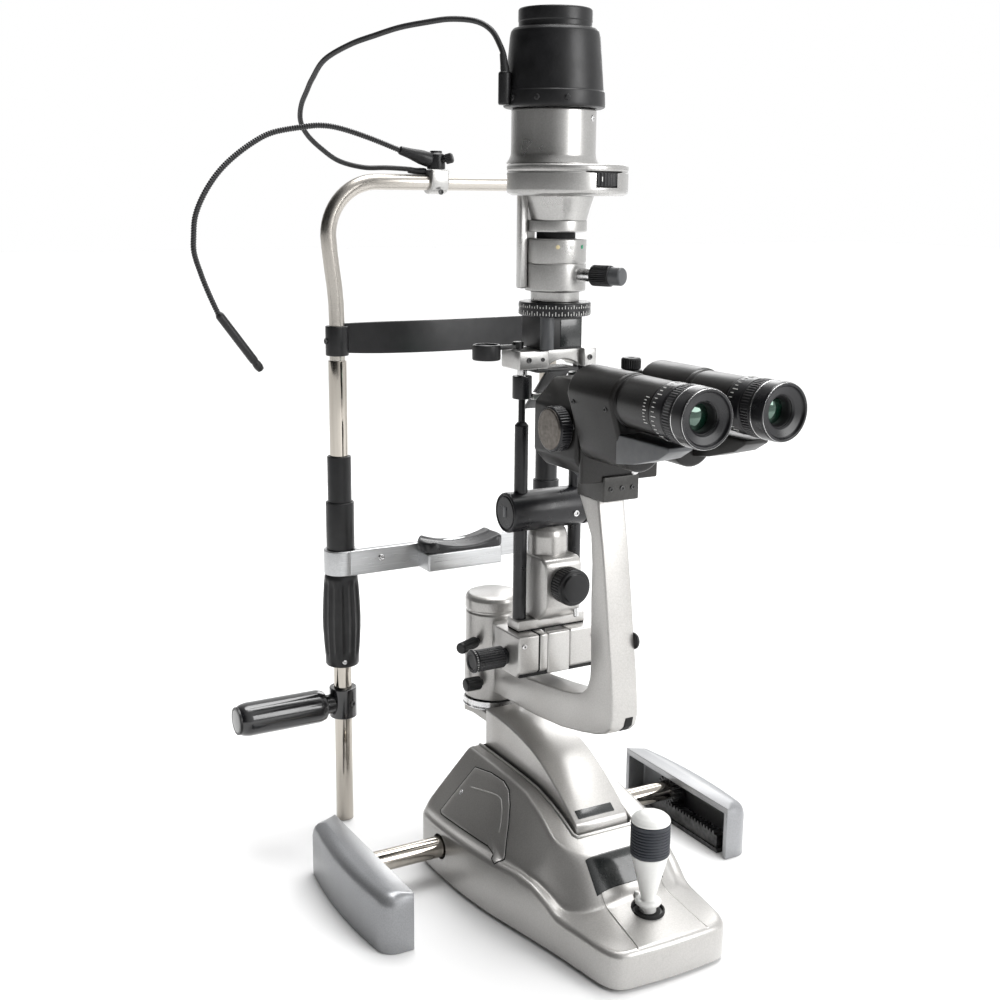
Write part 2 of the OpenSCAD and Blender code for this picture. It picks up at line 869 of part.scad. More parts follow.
module lamp_housing() {
    color("silver") difference() {
        union() {
            translate([0, 1 - lamp_y, 591]) cylinder(r1 = 36, r2 = 32.5, h = 6);
            rod_z(591, 632, 0, 1 - lamp_y, 32.5);
        }
        rod_z(590, 633, 0, 1 - lamp_y, 22);
    }
}

// Black cap with its stepped skirt, round top plate and the outlet of the cable
module lamp_cap() {
    color("black") difference() {
        union() {
            translate([0, 1 - lamp_y, 0]) rotate_extrude() polygon([[0, 632], [38.5, 632], [39, 633],
                [38.5, 645], [37.8, 645], [34.5, 686], [32, 690], [27.5, 690], [27.5, 695], [28, 695],
                [28, 704], [27, 704.7], [0, 704.7]]);
            rod_z(634, 658, -41, -26, 5);
        }
        translate([0, 1 - lamp_y, 0]) rotate_extrude() polygon([[10, 631], [34, 631], [33, 645],
            [30, 684], [10, 684]]);
        rod_z(630, 641, 0, 1 - lamp_y, 12);
    }
}

module bulb() {
    color("white") {
        translate([0, 1 - lamp_y, 619]) sphere(r = 8);
        rod_z(620, 641, 0, 1 - lamp_y, 7);
    }
}

module diffuser() {
    color("black") {
        rod_z(441, 457, -30, -lamp_y, 2);
        rod_z(451 + gap, 457, -30, -lamp_y, 4.5);
        block([-58, -lamp_y - 3, 451 + gap], [-30, -lamp_y + 3, 455]);
        rod_z(444, 456, -58, -lamp_y, 11);
    }
}

left_rail_cover();
right_rail_cover();
rack_plates();
headrest_posts();
post_sleeves();
headrest_bow();
forehead_band();
handle_hub();
handle_grip();
lamp_clamp();
lamp_cable();
chin_bracket();
chin_collars();
chin_cup();
height_grip();
fixation_joint();
gooseneck();
fixation_wand();
axle_guides();
axle();
toothed_wheels();
base_shell();
base_plate();
lift_guide();
joystick_gimbal();
joystick_cone();
joystick_sleeve();
joystick_cap();
wedge_cover();
swivel_post();
microscope_arm();
microscope_bracket();
microscope_body();
magnification_knobs();
left_barrel();
right_barrel();
left_dioptre_ring();
right_dioptre_ring();
binocular_screw();
microscope_lock_knob();
lamp_lock_knob();
illumination_arm();
cross_block();
slit_knobs();
lamp_columns();
cross_cylinder();
tower();
centring_knob();
yoke();
mirror_slab();  // mirror
prism_box();
dial_ring();
slit_cylinder();
slit_lever();
filter_disc();
filter_wheel();
lamp_housing();
lamp_cap();
bulb();
diffuser();
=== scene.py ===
"""Looks of a slit lamp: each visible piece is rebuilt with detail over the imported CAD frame.

Lengths in this script are millimetres unless a name ends in _m. Axes: +X to the right of the operator,
+Y towards the patient, +Z up, origin on the table under the cross axle.
"""
import math

import bmesh
import bpy
from mathutils import Matrix, Vector


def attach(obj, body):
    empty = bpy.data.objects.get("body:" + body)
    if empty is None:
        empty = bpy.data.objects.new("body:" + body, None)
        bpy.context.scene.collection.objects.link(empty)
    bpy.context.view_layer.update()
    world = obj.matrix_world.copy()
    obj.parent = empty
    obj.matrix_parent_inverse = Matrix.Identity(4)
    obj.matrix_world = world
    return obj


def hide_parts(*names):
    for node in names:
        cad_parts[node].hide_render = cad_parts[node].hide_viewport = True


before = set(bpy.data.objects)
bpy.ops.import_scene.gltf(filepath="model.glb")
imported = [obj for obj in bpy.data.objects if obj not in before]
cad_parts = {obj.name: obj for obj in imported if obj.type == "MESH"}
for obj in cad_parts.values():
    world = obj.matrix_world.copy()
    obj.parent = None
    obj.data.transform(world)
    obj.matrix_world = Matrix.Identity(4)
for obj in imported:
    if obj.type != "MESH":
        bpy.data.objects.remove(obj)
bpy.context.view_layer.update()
MM = 0.001
TAU = 2 * math.pi

# Places that many pieces share
POST_X, POST_Y = 107, 146
SWIVEL_Y = 58.2
STICK_Y = -185
LAMP_Y = -31
HEAD_Y = -36
HOUSE_Y = -30
TILT_Z = 201
SCOPE_Z = 398
EYE_Z = 431
BOW_Z = 578
FILTER_Y = -51
WHEEL_X, WHEEL_Y = 1.2, -59.7


# ---------------------------------------------------------------- camera, cords first

def make_camera():
    """Camera at the angle of view of a person standing at the operator's left."""
    cam = bpy.data.cameras.new("camera")
    cam.sensor_width = 36
    cam.lens = 49.306
    cam.clip_end = 20
    obj = bpy.data.objects.new("camera", cam)
    bpy.context.scene.collection.objects.link(obj)
    down, turn, roll = math.radians(12.653), math.radians(29.745), math.radians(0.533)
    look = Vector((math.sin(turn) * math.cos(down), math.cos(turn) * math.cos(down), -math.sin(down)))
    rot = look.to_track_quat("-Z", "Y").to_matrix().to_4x4() @ Matrix.Rotation(roll, 4, "Z")
    obj.matrix_world = Matrix.Translation(Vector((-0.570719, -0.951436, 0.570001))) @ rot
    bpy.context.scene.camera = obj


def smooth_path(points, steps):
    """Points of a smooth curve through a route, the same curve as the CAD model's."""
    pts = [Vector(p) for p in points]
    last = len(pts) - 1
    out = []
    for k in range(last * steps + 1):
        i, t = divmod(k, steps)
        t /= steps
        a, b = pts[max(0, i - 1)], pts[min(last, i)]
        c, d = pts[min(last, i + 1)], pts[min(last, i + 2)]
        out.append(0.5 * ((2 * b) + (c - a) * t + (2 * a - 5 * b + 4 * c - d) * t * t
                          + (3 * b - a - 3 * c + d) * t * t * t))
    return out


def path_length(path):
    return sum((b - a).length for a, b in zip(path, path[1:]))


CABLE_ROUTE = [(-22, 151, 587), (-34, 152, 589), (-54, 155, 590), (-74, 159, 590), (-95, 163, 595),
               (-110, 166, 605), (-122, 167, 616), (-129, 164, 627), (-132, 154, 639), (-133, 138, 650),
               (-134, 124, 658), (-133, 100, 671), (-122, 75, 681), (-109, 56, 687), (-96, 40, 692),
               (-82, 24, 695), (-68, 10, 697), (-54, -4, 695), (-46, -14, 688), (-42, -21, 676),
               (-41, -25, 667), (-41, -26, 658.5)]
NECK_ROUTE = [(-47, 605), (-74, 614), (-100, 621), (-118, 623), (-136, 621), (-161, 616), (-179, 607),
              (-197, 594), (-210, 581), (-221, 565), (-228, 549), (-230, 533), (-230, 520), (-225, 503),
              (-219, 487), (-212, 471)]
CABLE_D = 4.3

make_camera()


# ---------------------------------------------------------------- materials

class Nodes:
    """A short way to build a node material."""

    def __init__(self, name):
        self.mat = bpy.data.materials.new(name)
        self.mat.use_nodes = True
        self.tree = self.mat.node_tree
        self.shader = self.tree.nodes["Principled BSDF"]
        self.coords = self.add("ShaderNodeTexCoord").outputs["Object"]

    def add(self, kind, **values):
        item = self.tree.nodes.new(kind)
        for key, value in values.items():
            setattr(item, key, value)
        return item

    def link(self, a, b):
        self.tree.links.new(a, b)

    def set(self, **values):
        for key, value in values.items():
            self.shader.inputs[key.replace("_", " ")].default_value = value

    def noise(self, scale, detail=3, stretch=(1, 1, 1), rough=0.5):
        mapping = self.add("ShaderNodeMapping")
        mapping.inputs["Scale"].default_value = stretch
        self.link(self.coords, mapping.inputs["Vector"])
        item = self.add("ShaderNodeTexNoise")
        item.inputs["Scale"].default_value = scale
        item.inputs["Detail"].default_value = detail
        item.inputs["Roughness"].default_value = rough
        self.link(mapping.outputs["Vector"], item.inputs["Vector"])
        return item.outputs["Fac"]

    def spread(self, source, low, high):
        """Maps 0.3 to 0.7 of a noise to a range of values."""
        item = self.add("ShaderNodeMapRange")
        for key, value in (("From Min", 0.3), ("From Max", 0.7), ("To Min", low), ("To Max", high)):
            item.inputs[key].default_value = value
        self.link(source, item.inputs["Value"])
        return item.outputs["Result"]

    def ramp(self, source, low, high):
        """Maps a noise to colours between two."""
        item = self.add("ShaderNodeValToRGB")
        item.color_ramp.elements[0].position = 0.3
        item.color_ramp.elements[1].position = 0.7
        item.color_ramp.elements[0].color = (*low, 1)
        item.color_ramp.elements[1].color = (*high, 1)
        self.link(source, item.inputs["Fac"])
        return item.outputs["Color"]

    def worn(self, colour, edge, amount=0.5):
        """Lightens or darkens the edges, as handling does."""
        geo = self.add("ShaderNodeNewGeometry")
        wear = self.add("ShaderNodeMapRange")
        for key, value in (("From Min", 0.52), ("From Max", 0.60), ("To Min", 0.0), ("To Max", amount)):
            wear.inputs[key].default_value = value
        self.link(geo.outputs["Pointiness"], wear.inputs["Value"])
        mix = self.add("ShaderNodeMix", data_type="RGBA")
        self.link(wear.outputs["Result"], mix.inputs["Factor"])
        self.link(colour, mix.inputs["A"])
        mix.inputs["B"].default_value = (*edge, 1)
        return mix.outputs["Result"]

    def bump(self, source, strength, distance=0.0003):
        item = self.add("ShaderNodeBump")
        item.inputs["Strength"].default_value = strength
        item.inputs["Distance"].default_value = distance
        self.link(source, item.inputs["Height"])
        self.link(item.outputs["Normal"], self.shader.inputs["Normal"])


def paint(name, low, high, metallic, rough, coat=0.2, flake=0.05, edge=None, spec=0.5):
    """Sprayed metallic or plain paint with flakes and slight orange peel."""
    n = Nodes(name)
    colour = n.ramp(n.noise(900, 2), low, high)
    if edge:
        colour = n.worn(colour, edge, 0.35)
    n.link(colour, n.shader.inputs["Base Color"])
    n.link(n.spread(n.noise(35, 4), rough - 0.04, rough + 0.05), n.shader.inputs["Roughness"])
    n.set(Metallic=metallic, Coat_Weight=coat, Coat_Roughness=0.12, Specular_IOR_Level=spec)
    n.bump(n.noise(700, 2), flake)
    return n.mat


def metal(name, low, high, rough, stretch=(1, 1, 1), grain=0.03, scale=250):
    """Bare metal with a grain that runs along the stretched axis."""
    n = Nodes(name)
    n.link(n.ramp(n.noise(scale, 4, stretch), low, high), n.shader.inputs["Base Color"])
    n.link(n.spread(n.noise(scale * 1.4, 3, stretch), rough * 0.75, rough * 1.3),
           n.shader.inputs["Roughness"])
    n.set(Metallic=1.0)
    n.bump(n.noise(scale * 2, 2, stretch), grain, 0.0001)
    return n.mat


def plastic(name, low, high, rough, grain=0.12, scale=1400, coat=0.0, spec=0.5, edge=None):
    """Moulded plastic with a fine grain, slight dust and worn edges."""
    n = Nodes(name)
    colour = n.ramp(n.noise(60, 5, rough=0.65), low, high)
    if edge:
        colour = n.worn(colour, edge, 0.5)
    n.link(colour, n.shader.inputs["Base Color"])
    n.link(n.spread(n.noise(90, 4), rough - 0.06, rough + 0.08), n.shader.inputs["Roughness"])
    n.set(Coat_Weight=coat, Coat_Roughness=0.08, Specular_IOR_Level=spec)
    n.bump(n.noise(scale, 2), grain, 0.0002)
    return n.mat


def glass(name, colour, rough=0.02, metallic=0.0):
    """Coated lens glass: dark, very glossy, with a faint colour cast."""
    n = Nodes(name)
    low = tuple(c * 0.6 for c in colour)
    n.link(n.ramp(n.noise(120, 2), low, colour), n.shader.inputs["Base Color"])
    n.link(n.spread(n.noise(300, 2), rough, rough + 0.03), n.shader.inputs["Roughness"])
    n.set(Metallic=metallic, Coat_Weight=1.0, Coat_Roughness=0.02, Specular_IOR_Level=0.8,
          Coat_Tint=(0.6, 1.0, 0.8, 1))
    return n.mat


M = {
    "silver": paint("silver_paint", (0.40, 0.39, 0.375), (0.47, 0.46, 0.445), 0.62, 0.33, 0.25, 0.02,
                    edge=(0.7, 0.7, 0.69)),
    "silver_dark": paint("silver_paint_grey", (0.24, 0.245, 0.255), (0.29, 0.295, 0.305), 0.6, 0.36, 0.2,
                         0.02,
                         edge=(0.5, 0.5, 0.5)),
    "cast": paint("satin_cast", (0.37, 0.365, 0.355), (0.44, 0.435, 0.425), 0.8, 0.30, 0.15, 0.02,
                  edge=(0.7, 0.7, 0.69)),
    "cast_dark": paint("satin_cast_dark", (0.020, 0.019, 0.018), (0.034, 0.033, 0.031), 0.5, 0.34, 0.1, 0.02,
                       edge=(0.12, 0.12, 0.115)),
    "chrome": metal("chrome", (0.40, 0.37, 0.33), (0.46, 0.43, 0.385), 0.08, (1, 1, 0.05), 0.01, 300),
    "champagne": metal("satin_tube", (0.43, 0.405, 0.37), (0.47, 0.445, 0.41), 0.28, (1, 1, 1), 0.006, 1600),
    "brushed": metal("brushed_aluminium", (0.42, 0.425, 0.43), (0.50, 0.505, 0.51), 0.34,
                     (0.03, 1, 1), 0.10, 900),
    "steel": metal("turned_steel", (0.5, 0.5, 0.5), (0.7, 0.7, 0.7), 0.22, (1, 1, 1), 0.03, 600),
    "dark_steel": metal("dark_steel", (0.05, 0.05, 0.05), (0.11, 0.11, 0.11), 0.42, (1, 1, 1), 0.05, 200),
    "black": plastic("black_satin", (0.005, 0.005, 0.0055), (0.011, 0.011, 0.012), 0.36, spec=0.35,
                     edge=(0.05, 0.05, 0.05)),
    "crackle": paint("black_paint", (0.005, 0.0047, 0.0045), (0.012, 0.0115, 0.011), 0.0, 0.36, 0.0, 0.10,
                     edge=(0.05, 0.045, 0.04), spec=0.3),
    "anodised": plastic("black_anodised", (0.005, 0.005, 0.006), (0.010, 0.010, 0.012), 0.30, 0.03, 900,
                        spec=0.4, edge=(0.06, 0.06, 0.06)),
    "gloss": plastic("gloss_black", (0.006, 0.006, 0.007), (0.012, 0.012, 0.013), 0.16, 0.02, 500, 0.6),
    "rubber": plastic("ribbed_rubber", (0.016, 0.019, 0.026), (0.030, 0.034, 0.044), 0.55, 0.25, 900,
                      edge=(0.08, 0.09, 0.11)),
    "cable": plastic("cable_rubber", (0.008, 0.008, 0.009), (0.020, 0.020, 0.021), 0.45, 0.2, 1500),
    "white": plastic("white_plastic", (0.68, 0.68, 0.66), (0.78, 0.78, 0.76), 0.33, 0.05, 700, 0.2),
    # Grey plastic for the small grey parts; also the painted highlight on the left eyepiece's lower panel.
    "grey": plastic("grey_plastic_and_highlight", (0.055, 0.058, 0.062), (0.085, 0.088, 0.092), 0.40, 0.08, 900),
    "knob_face": metal("knob_face", (0.10, 0.09, 0.08), (0.16, 0.145, 0.13), 0.38, (1, 1, 1), 0.05, 300),
    "mark": plastic("white_mark", (0.62, 0.62, 0.60), (0.75, 0.75, 0.73), 0.5, 0.02),
    "mark_green": plastic("green_mark", (0.02, 0.20, 0.10), (0.04, 0.30, 0.16), 0.4, 0.02),
    "mark_cream": plastic("cream_mark", (0.60, 0.50, 0.28), (0.72, 0.62, 0.38), 0.4, 0.02),
    "plate": plastic("dark_plate", (0.012, 0.014, 0.014), (0.026, 0.029, 0.029), 0.22, 0.03, 500, 0.4),
    # Near-black for joint lines, slots and the insides of holes; also painted shade under the front of the
    # lamp foot.
    "gap": plastic("shadow_gap", (0.004, 0.004, 0.004), (0.008, 0.008, 0.008), 0.8, 0.02),
    "lens": glass("coated_lens", (0.005, 0.016, 0.012)),
    "mirror": glass("front_mirror", (0.75, 0.78, 0.80), 0.01, 1.0),
    "bulb": glass("bulb_glass", (0.65, 0.62, 0.55), 0.05),
}


# ---------------------------------------------------------------- mesh helpers

def finish_piece(obj, mat, body, stands=()):
    """Gives a piece its material, hangs it on its body so that it rides with it, and hides the CAD nodes that
    it replaces.
    """
    obj.data.materials.clear()
    obj.data.materials.append(M[mat])
    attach(obj, body)
    if stands:
        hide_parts(*([stands] if isinstance(stands, str) else stands))
    return obj


def mesh_object(name, verts, faces, smooth=True):
    mesh = bpy.data.meshes.new(name)
    mesh.from_pydata([Vector(v) * MM for v in verts], [], faces)
    mesh.validate()
    obj = bpy.data.objects.new(name, mesh)
    bpy.context.scene.collection.objects.link(obj)
    for poly in mesh.polygons:
        poly.use_smooth = smooth
    return obj


def apply_modifiers(obj):
    """Turns the shown shape, modifiers included, into the object's own mesh."""
    graph = bpy.context.evaluated_depsgraph_get()
    mesh = bpy.data.meshes.new_from_object(obj.evaluated_get(graph))
    obj.modifiers.clear()
    obj.data = mesh
    return obj


def sharp_by_angle(obj, degrees=32):
    """Smooth shading with the sharp edges kept."""
    mesh = obj.data
    for poly in mesh.polygons:
        poly.use_smooth = True
    bm = bmesh.new()
    bm.from_mesh(mesh)
    limit = math.radians(degrees)
    for edge in bm.edges:
        edge.smooth = len(edge.link_faces) == 2 and edge.calc_face_angle(0) < limit
    bm.to_mesh(mesh)
    bm.free()
    return obj


def bevel(obj, width, segments=3, degrees=28):
    """Rounds the sharp edges and applies it."""
    if width:
        mod = obj.modifiers.new("bevel", "BEVEL")
        mod.width = width * MM
        mod.segments = segments
        mod.limit_method = "ANGLE"
        mod.angle_limit = math.radians(degrees)
        mod.use_clamp_overlap = True
        apply_modifiers(obj)
    return sharp_by_angle(obj)


def cut(obj, *cutters):
    """Takes the cutters out of a piece."""
    for cutter in cutters:
        mod = obj.modifiers.new("cut", "BOOLEAN")
        mod.operation = "DIFFERENCE"
        mod.solver = "EXACT"
        mod.object = cutter
        bpy.context.view_layer.update()
        apply_modifiers(obj)
        bpy.data.objects.remove(cutter)
    return obj


def join(name, objs):
    """One object from several."""
    mesh = bpy.data.meshes.new(name)
    bm = bmesh.new()
    for item in objs:
        part = item.data.copy()
        part.transform(item.matrix_world)
        bm.from_mesh(part)
        bpy.data.meshes.remove(part)
        bpy.data.objects.remove(item)
    bm.to_mesh(mesh)
    bm.free()
    obj = bpy.data.objects.new(name, mesh)
    bpy.context.scene.collection.objects.link(obj)
    return obj


def axis_frame(origin, axis):
    """Matrix that takes +Z to axis and the origin to a place, in millimetres."""
    quat = Vector(axis).normalized().to_track_quat("Z", "Y")
    return Matrix.Translation(Vector(origin)) @ quat.to_matrix().to_4x4()


def rounded(profile, radius, steps=4):
    """Rounds the inner corners of an open outline of (r, z) points."""
    out = [profile[0]]
    for a, b, c in zip(profile, profile[1:], profile[2:]):
        a, b, c = Vector(a), Vector(b), Vector(c)
        back, ahead = a - b, c - b
        reach = min(radius, back.length * 0.45, ahead.length * 0.45)
        if reach < 0.05 or back.angle(ahead, 0) > math.radians(172):
            out.append(tuple(b))
            continue
        p, q = b + back.normalized() * reach, b + ahead.normalized() * reach
        for i in range(steps + 1):
            t = i / steps
            out.append(tuple((1 - t) ** 2 * p + 2 * t * (1 - t) * b + t * t * q))
    out.append(profile[-1])
    return out


def lathe(name, profile, origin=(0, 0, 0), axis=(0, 0, 1), soft=0.6, seg=72, ripple=None):
    """A turned piece from (r, z) points along an axis.

    ripple is (number, depth, z0, z1, shape): ribs or knurls round the outside between two places.
    """
    pts = rounded(profile, soft) if soft else profile
    if ripple and ripple[4] != "ring":
        seg = max(seg, ripple[0] * 6)
    m = axis_frame(origin, axis)
    verts, faces = [], []
    for r, z in pts:
        for k in range(seg):
            a = TAU * k / seg
            rr = r
            if ripple and ripple[4] != "ring" and ripple[2] <= z <= ripple[3] and r > 1:
                wave = 0.5 - 0.5 * math.cos(ripple[0] * a)
                power = 0.6 if ripple[4] == "flute" else 1.5
                rr = r - ripple[1] * wave ** power
            verts.append(m @ Vector((rr * math.cos(a), rr * math.sin(a), z)))
    rows = len(pts)
    ring = pts[0][0] > 0.01 and pts[-1][0] > 0.01
    for i in range(rows if ring else rows - 1):
        j = (i + 1) % rows
        for k in range(seg):
            n = (k + 1) % seg
            faces.append((i * seg + k, i * seg + n, j * seg + n, j * seg + k))
    obj = mesh_object(name, verts, faces)
    bm = bmesh.new()
    bm.from_mesh(obj.data)
    bmesh.ops.remove_doubles(bm, verts=bm.verts, dist=1e-7)
    bmesh.ops.recalc_face_normals(bm, faces=bm.faces)
    bm.to_mesh(obj.data)
    bm.free()
    return sharp_by_angle(obj, 38)


def tube_ring(name, r_in, r_out, z0, z1, origin, axis=(0, 0, 1), soft=0.5, seg=72, ripple=None):
    """A ring with a hole right through."""
    pts = rounded([(r_in, (z0 + z1) / 2), (r_in, z0), (r_out, z0), (r_out, z1), (r_in, z1),
                   (r_in, (z0 + z1) / 2)], soft)
    if ripple:
        seg = max(seg, ripple[0] * 6)
    m = axis_frame(origin, axis)
    verts, faces = [], []
    for r, z in pts[:-1]:
        for k in range(seg):
            a = TAU * k / seg
            rr = r
            if ripple and r > (r_in + r_out) / 2 and ripple[2] <= z <= ripple[3]:
                rr = r - ripple[1] * (0.5 - 0.5 * math.cos(ripple[0] * a)) ** 1.2
            verts.append(m @ Vector((rr * math.cos(a), rr * math.sin(a), z)))
    rows = len(pts) - 1
    for i in range(rows):
        j = (i + 1) % rows
        for k in range(seg):
            n = (k + 1) % seg
            faces.append((i * seg + k, i * seg + n, j * seg + n, j * seg + k))
    return sharp_by_angle(mesh_object(name, verts, faces), 38)


def slab(name, outline, lo, hi, axis="X", round_by=1.0, segments=3):
    """An outline extruded along an axis, with rounded edges. The outline is in the other two axes."""
    place = {"X": lambda a, b, c: (c, a, b), "Y": lambda a, b, c: (a, c, b), "Z": lambda a, b, c: (a, b, c)}
    put = place[axis]
    n = len(outline)
    verts = [put(a, b, c) for c in (lo, hi) for a, b in outline]
    faces = [(i, (i + 1) % n, n + (i + 1) % n, n + i) for i in range(n)]
    faces += [tuple(reversed(range(n))), tuple(range(n, 2 * n))]
    obj = mesh_object(name, verts, faces)
    bm = bmesh.new()
    bm.from_mesh(obj.data)
    bmesh.ops.recalc_face_normals(bm, faces=bm.faces)
    bm.to_mesh(obj.data)
    bm.free()
    return bevel(obj, round_by, segments)


def box(name, lo, hi, round_by=1.0, segments=3):
    corners = [(lo[0], lo[1]), (hi[0], lo[1]), (hi[0], hi[1]), (lo[0], hi[1])]
    return slab(name, corners, lo[2], hi[2], "Z", round_by, segments)


def tube(name, path, radius, sides=16, ribs=None, caps=True):
    """A round tube along a path. ribs is (pitch, depth) for a ribbed skin."""
    pts = [Vector(p) for p in path]
    verts, faces = [], []
    side = None
    run = 0.0
    for i, p in enumerate(pts):
        ahead = (pts[min(i + 1, len(pts) - 1)] - pts[max(i - 1, 0)]).normalized()
        if side is None:
            side = ahead.orthogonal().normalized()
        side = (side - ahead * side.dot(ahead)).normalized()
        top = ahead.cross(side)
        if i:
            run += (p - pts[i - 1]).length
        r = radius
        if ribs:
            r -= ribs[1] * (0.5 - 0.5 * math.cos(TAU * run / ribs[0]))
        for k in range(sides):
            a = TAU * k / sides
            verts.append(p + r * (math.cos(a) * side + math.sin(a) * top))
    for i in range(len(pts) - 1):
        for k in range(sides):
            n = (k + 1) % sides
            faces.append((i * sides + k, i * sides + n, (i + 1) * sides + n, (i + 1) * sides + k))
    if caps:
        faces.append(tuple(reversed(range(sides))))
        faces.append(tuple((len(pts) - 1) * sides + k for k in range(sides)))
    return sharp_by_angle(mesh_object(name, verts, faces), 40)


def arc(cx, cy, r, a0, a1, n=8):
    """Points of an arc in degrees."""
    return [(cx + r * math.cos(math.radians(a0 + (a1 - a0) * i / n)),
             cy + r * math.sin(math.radians(a0 + (a1 - a0) * i / n))) for i in range(n + 1)]


def mirrored(obj, name):
    """A copy on the other side of the middle plane."""
    copy = bpy.data.objects.new(name, obj.data.copy())
    bpy.context.scene.collection.objects.link(copy)
    copy.data.transform(Matrix.Scale(-1, 4, (1, 0, 0)))
    copy.data.flip_normals()
    return sharp_by_angle(copy, 38)


def cylinder(name, r, z0, z1, origin, axis=(0, 0, 1), soft=0.0, seg=48):
    return lathe(name, [(0, z0), (r, z0), (r, z1), (0, z1)], origin, axis, soft, seg)


def socket_screw(name, r, height, origin, axis, body, mat="steel"):
    """A cap screw's head with a hexagon socket."""
    head = lathe(name, [(0, 0), (r, 0), (r, height), (0, height)], origin, axis, 0.35, 32)
    hexagon = cylinder("hex", r * 0.5, height * 0.35, height + 1, origin, axis, 0, 6)
    return finish_piece(cut(head, hexagon), mat, body)


def slot_screw(name, r, height, origin, axis, body, mat="steel"):
    """A screw's head with a straight slot."""
    head = lathe(name, [(0, 0), (r, 0), (r, height * 0.6), (r * 0.75, height), (0, height)],
                 origin, axis, 0.3, 32)
    bar = box("bar", (-r * 1.2, -r * 0.14, height * 0.45), (r * 1.2, r * 0.14, height + 1), 0)
    bar.data.transform(Matrix.Scale(1 / MM, 4))
    bar.data.transform(axis_frame(origin, axis))
    bar.data.transform(Matrix.Scale(MM, 4))
    return finish_piece(cut(head, bar), mat, body)


def ticks(name, count, r, z, length, width, origin, axis, body, mat="mark", span=360, start=0, every=5,
          depth=0.25, flat=False):
    """Raised scale marks round a ring; each fifth mark is longer. flat marks lie on the end face."""
    m = axis_frame(origin, axis)
    verts, faces = [], []
    for k in range(count):
        a = math.radians(start + span * k / count)
        size = length if k % every == 0 else length * 0.55
        out = Vector((math.cos(a), math.sin(a), 0))
        along = Vector((-math.sin(a), math.cos(a), 0))
        base = len(verts)
        for u in (-0.5, 0.5):
            for v in (0, 1):
                for w in (-0.3, 1):
                    if flat:
                        p = out * (r - v * size) + along * u * width + Vector((0, 0, z + w * depth))
                    else:
                        p = out * (r + w * depth) + along * u * width + Vector((0, 0, z + v * size))
                    verts.append(m @ p)
        faces += [tuple(base + i for i in f) for f in
                  ((0, 1, 3, 2), (4, 6, 7, 5), (0, 4, 5, 1), (2, 3, 7, 6), (0, 2, 6, 4), (1, 5, 7, 3))]
    return finish_piece(mesh_object(name, verts, faces, False), mat, body)


# ---------------------------------------------------------------- cords

def make_cable():
    path = smooth_path(CABLE_ROUTE, 8)
    obj = finish_piece(tube("lamp_cable_skin", path, CABLE_D / 2, 20), "cable", "stand", "lamp_cable")
    # Tapered reliefs at both ends
    for name, a, b, body in (("cable_relief_clamp", path[0], path[16], "stand"),
                             ("cable_relief_cap", path[-1], path[-14], "lamp_unit")):
        ahead = (b - a).normalized()
        relief = lathe(name, [(0, -3), (3.4, -3), (3.4, 2), (3.0, 5), (2.5, 13), (0, 13)], a, ahead, 0.4, 32,
                       (1, 0, 0, 0, "ring"))
        finish_piece(relief, "cable", body)


make_cable()


# ---------------------------------------------------------------- stand

def rail_outline(d):
    """Plan of a rail cover, moved in by d: flat inner side, bulged outer side."""
    x0, front, back = 151.7, -92 + d, 62 - d
    bulge_x = lambda y: 181.3 - d - (y + 22) ** 2 / 940
    r1, r2 = 14 - d, max(1, 7 - d)
    outer = [(bulge_x(y), y) for y in [front + r1 + (back - r2 - front - r1) * i / 14 for i in range(15)]]
    corner1 = arc(bulge_x(front + r1) - r1, front + r1, r1, -90, 0, 6)[:-1]
    corner2 = arc(bulge_x(back - r2) - r2, back - r2, r2, 0, 90, 5)[1:]
    return [(x0, back), (x0, front)] + corner1 + outer + corner2


def rail_cover(name, side, node):
    """A hollow cover, open on its inner side, with a rounded upper edge."""
    steps = [(0, 0), (0, 36), (0.6, 40), (2.2, 43.4), (4.8, 46), (8, 47.5), (11, 48)]
    rings = [[(x, y, z) for x, y in rail_outline(d)] for d, z in steps]
    n = len(rings[0])
    x0 = 151.7
    for ring in rings:
        ring[:2] = [(x0, 62, ring[0][2]), (x0, -92, ring[1][2])]
    verts = [v for ring in rings for v in ring]
    faces = []
    for i in range(len(rings) - 1):
        for k in range(n):
            m = (k + 1) % n
            faces.append((i * n + k, i * n + m, (i + 1) * n + m, (i + 1) * n + k))
    faces.append(tuple(reversed(range(n))))
    faces.append(tuple((len(rings) - 1) * n + k for k in range(n)))
    shell = mesh_object(name, verts, faces)
    inside = slab("inside", [(x if x > 152 else 140, y) for x, y in rail_outline(5)], -2, 42, "Z", 0)
    shell = cut(shell, inside)
    shell = bevel(shell, 0.8, 2, 40)
    if side < 0:
        copy = mirrored(shell, name)
        bpy.data.objects.remove(shell)
        shell = copy
        shell.name = name
    return finish_piece(shell, "silver_dark", "stand", node)


def posts():
    for side, tag in ((-1, "left"), (1, "right")):
        x = side * POST_X
        rod = lathe(f"{tag}_post_lower", [(0, 0), (8, 0), (8, 151.2), (0, 151.2)], (x, POST_Y, 0), soft=0.4)
        finish_piece(rod, "chrome", "stand", "headrest_posts")
        upper = lathe(f"{tag}_post_upper", [(0, 342), (8, 342), (8, 427), (0, 427)], (x, POST_Y, 0), soft=0.4)
        finish_piece(upper, "chrome", "stand")
        sleeve = lathe(f"{tag}_sleeve", [(8, 236.2), (10.5, 236.2), (10.5, 343), (8, 343)],
                       (x, POST_Y, 0), soft=0.8)
        finish_piece(sleeve, "black", "stand", "post_sleeves")


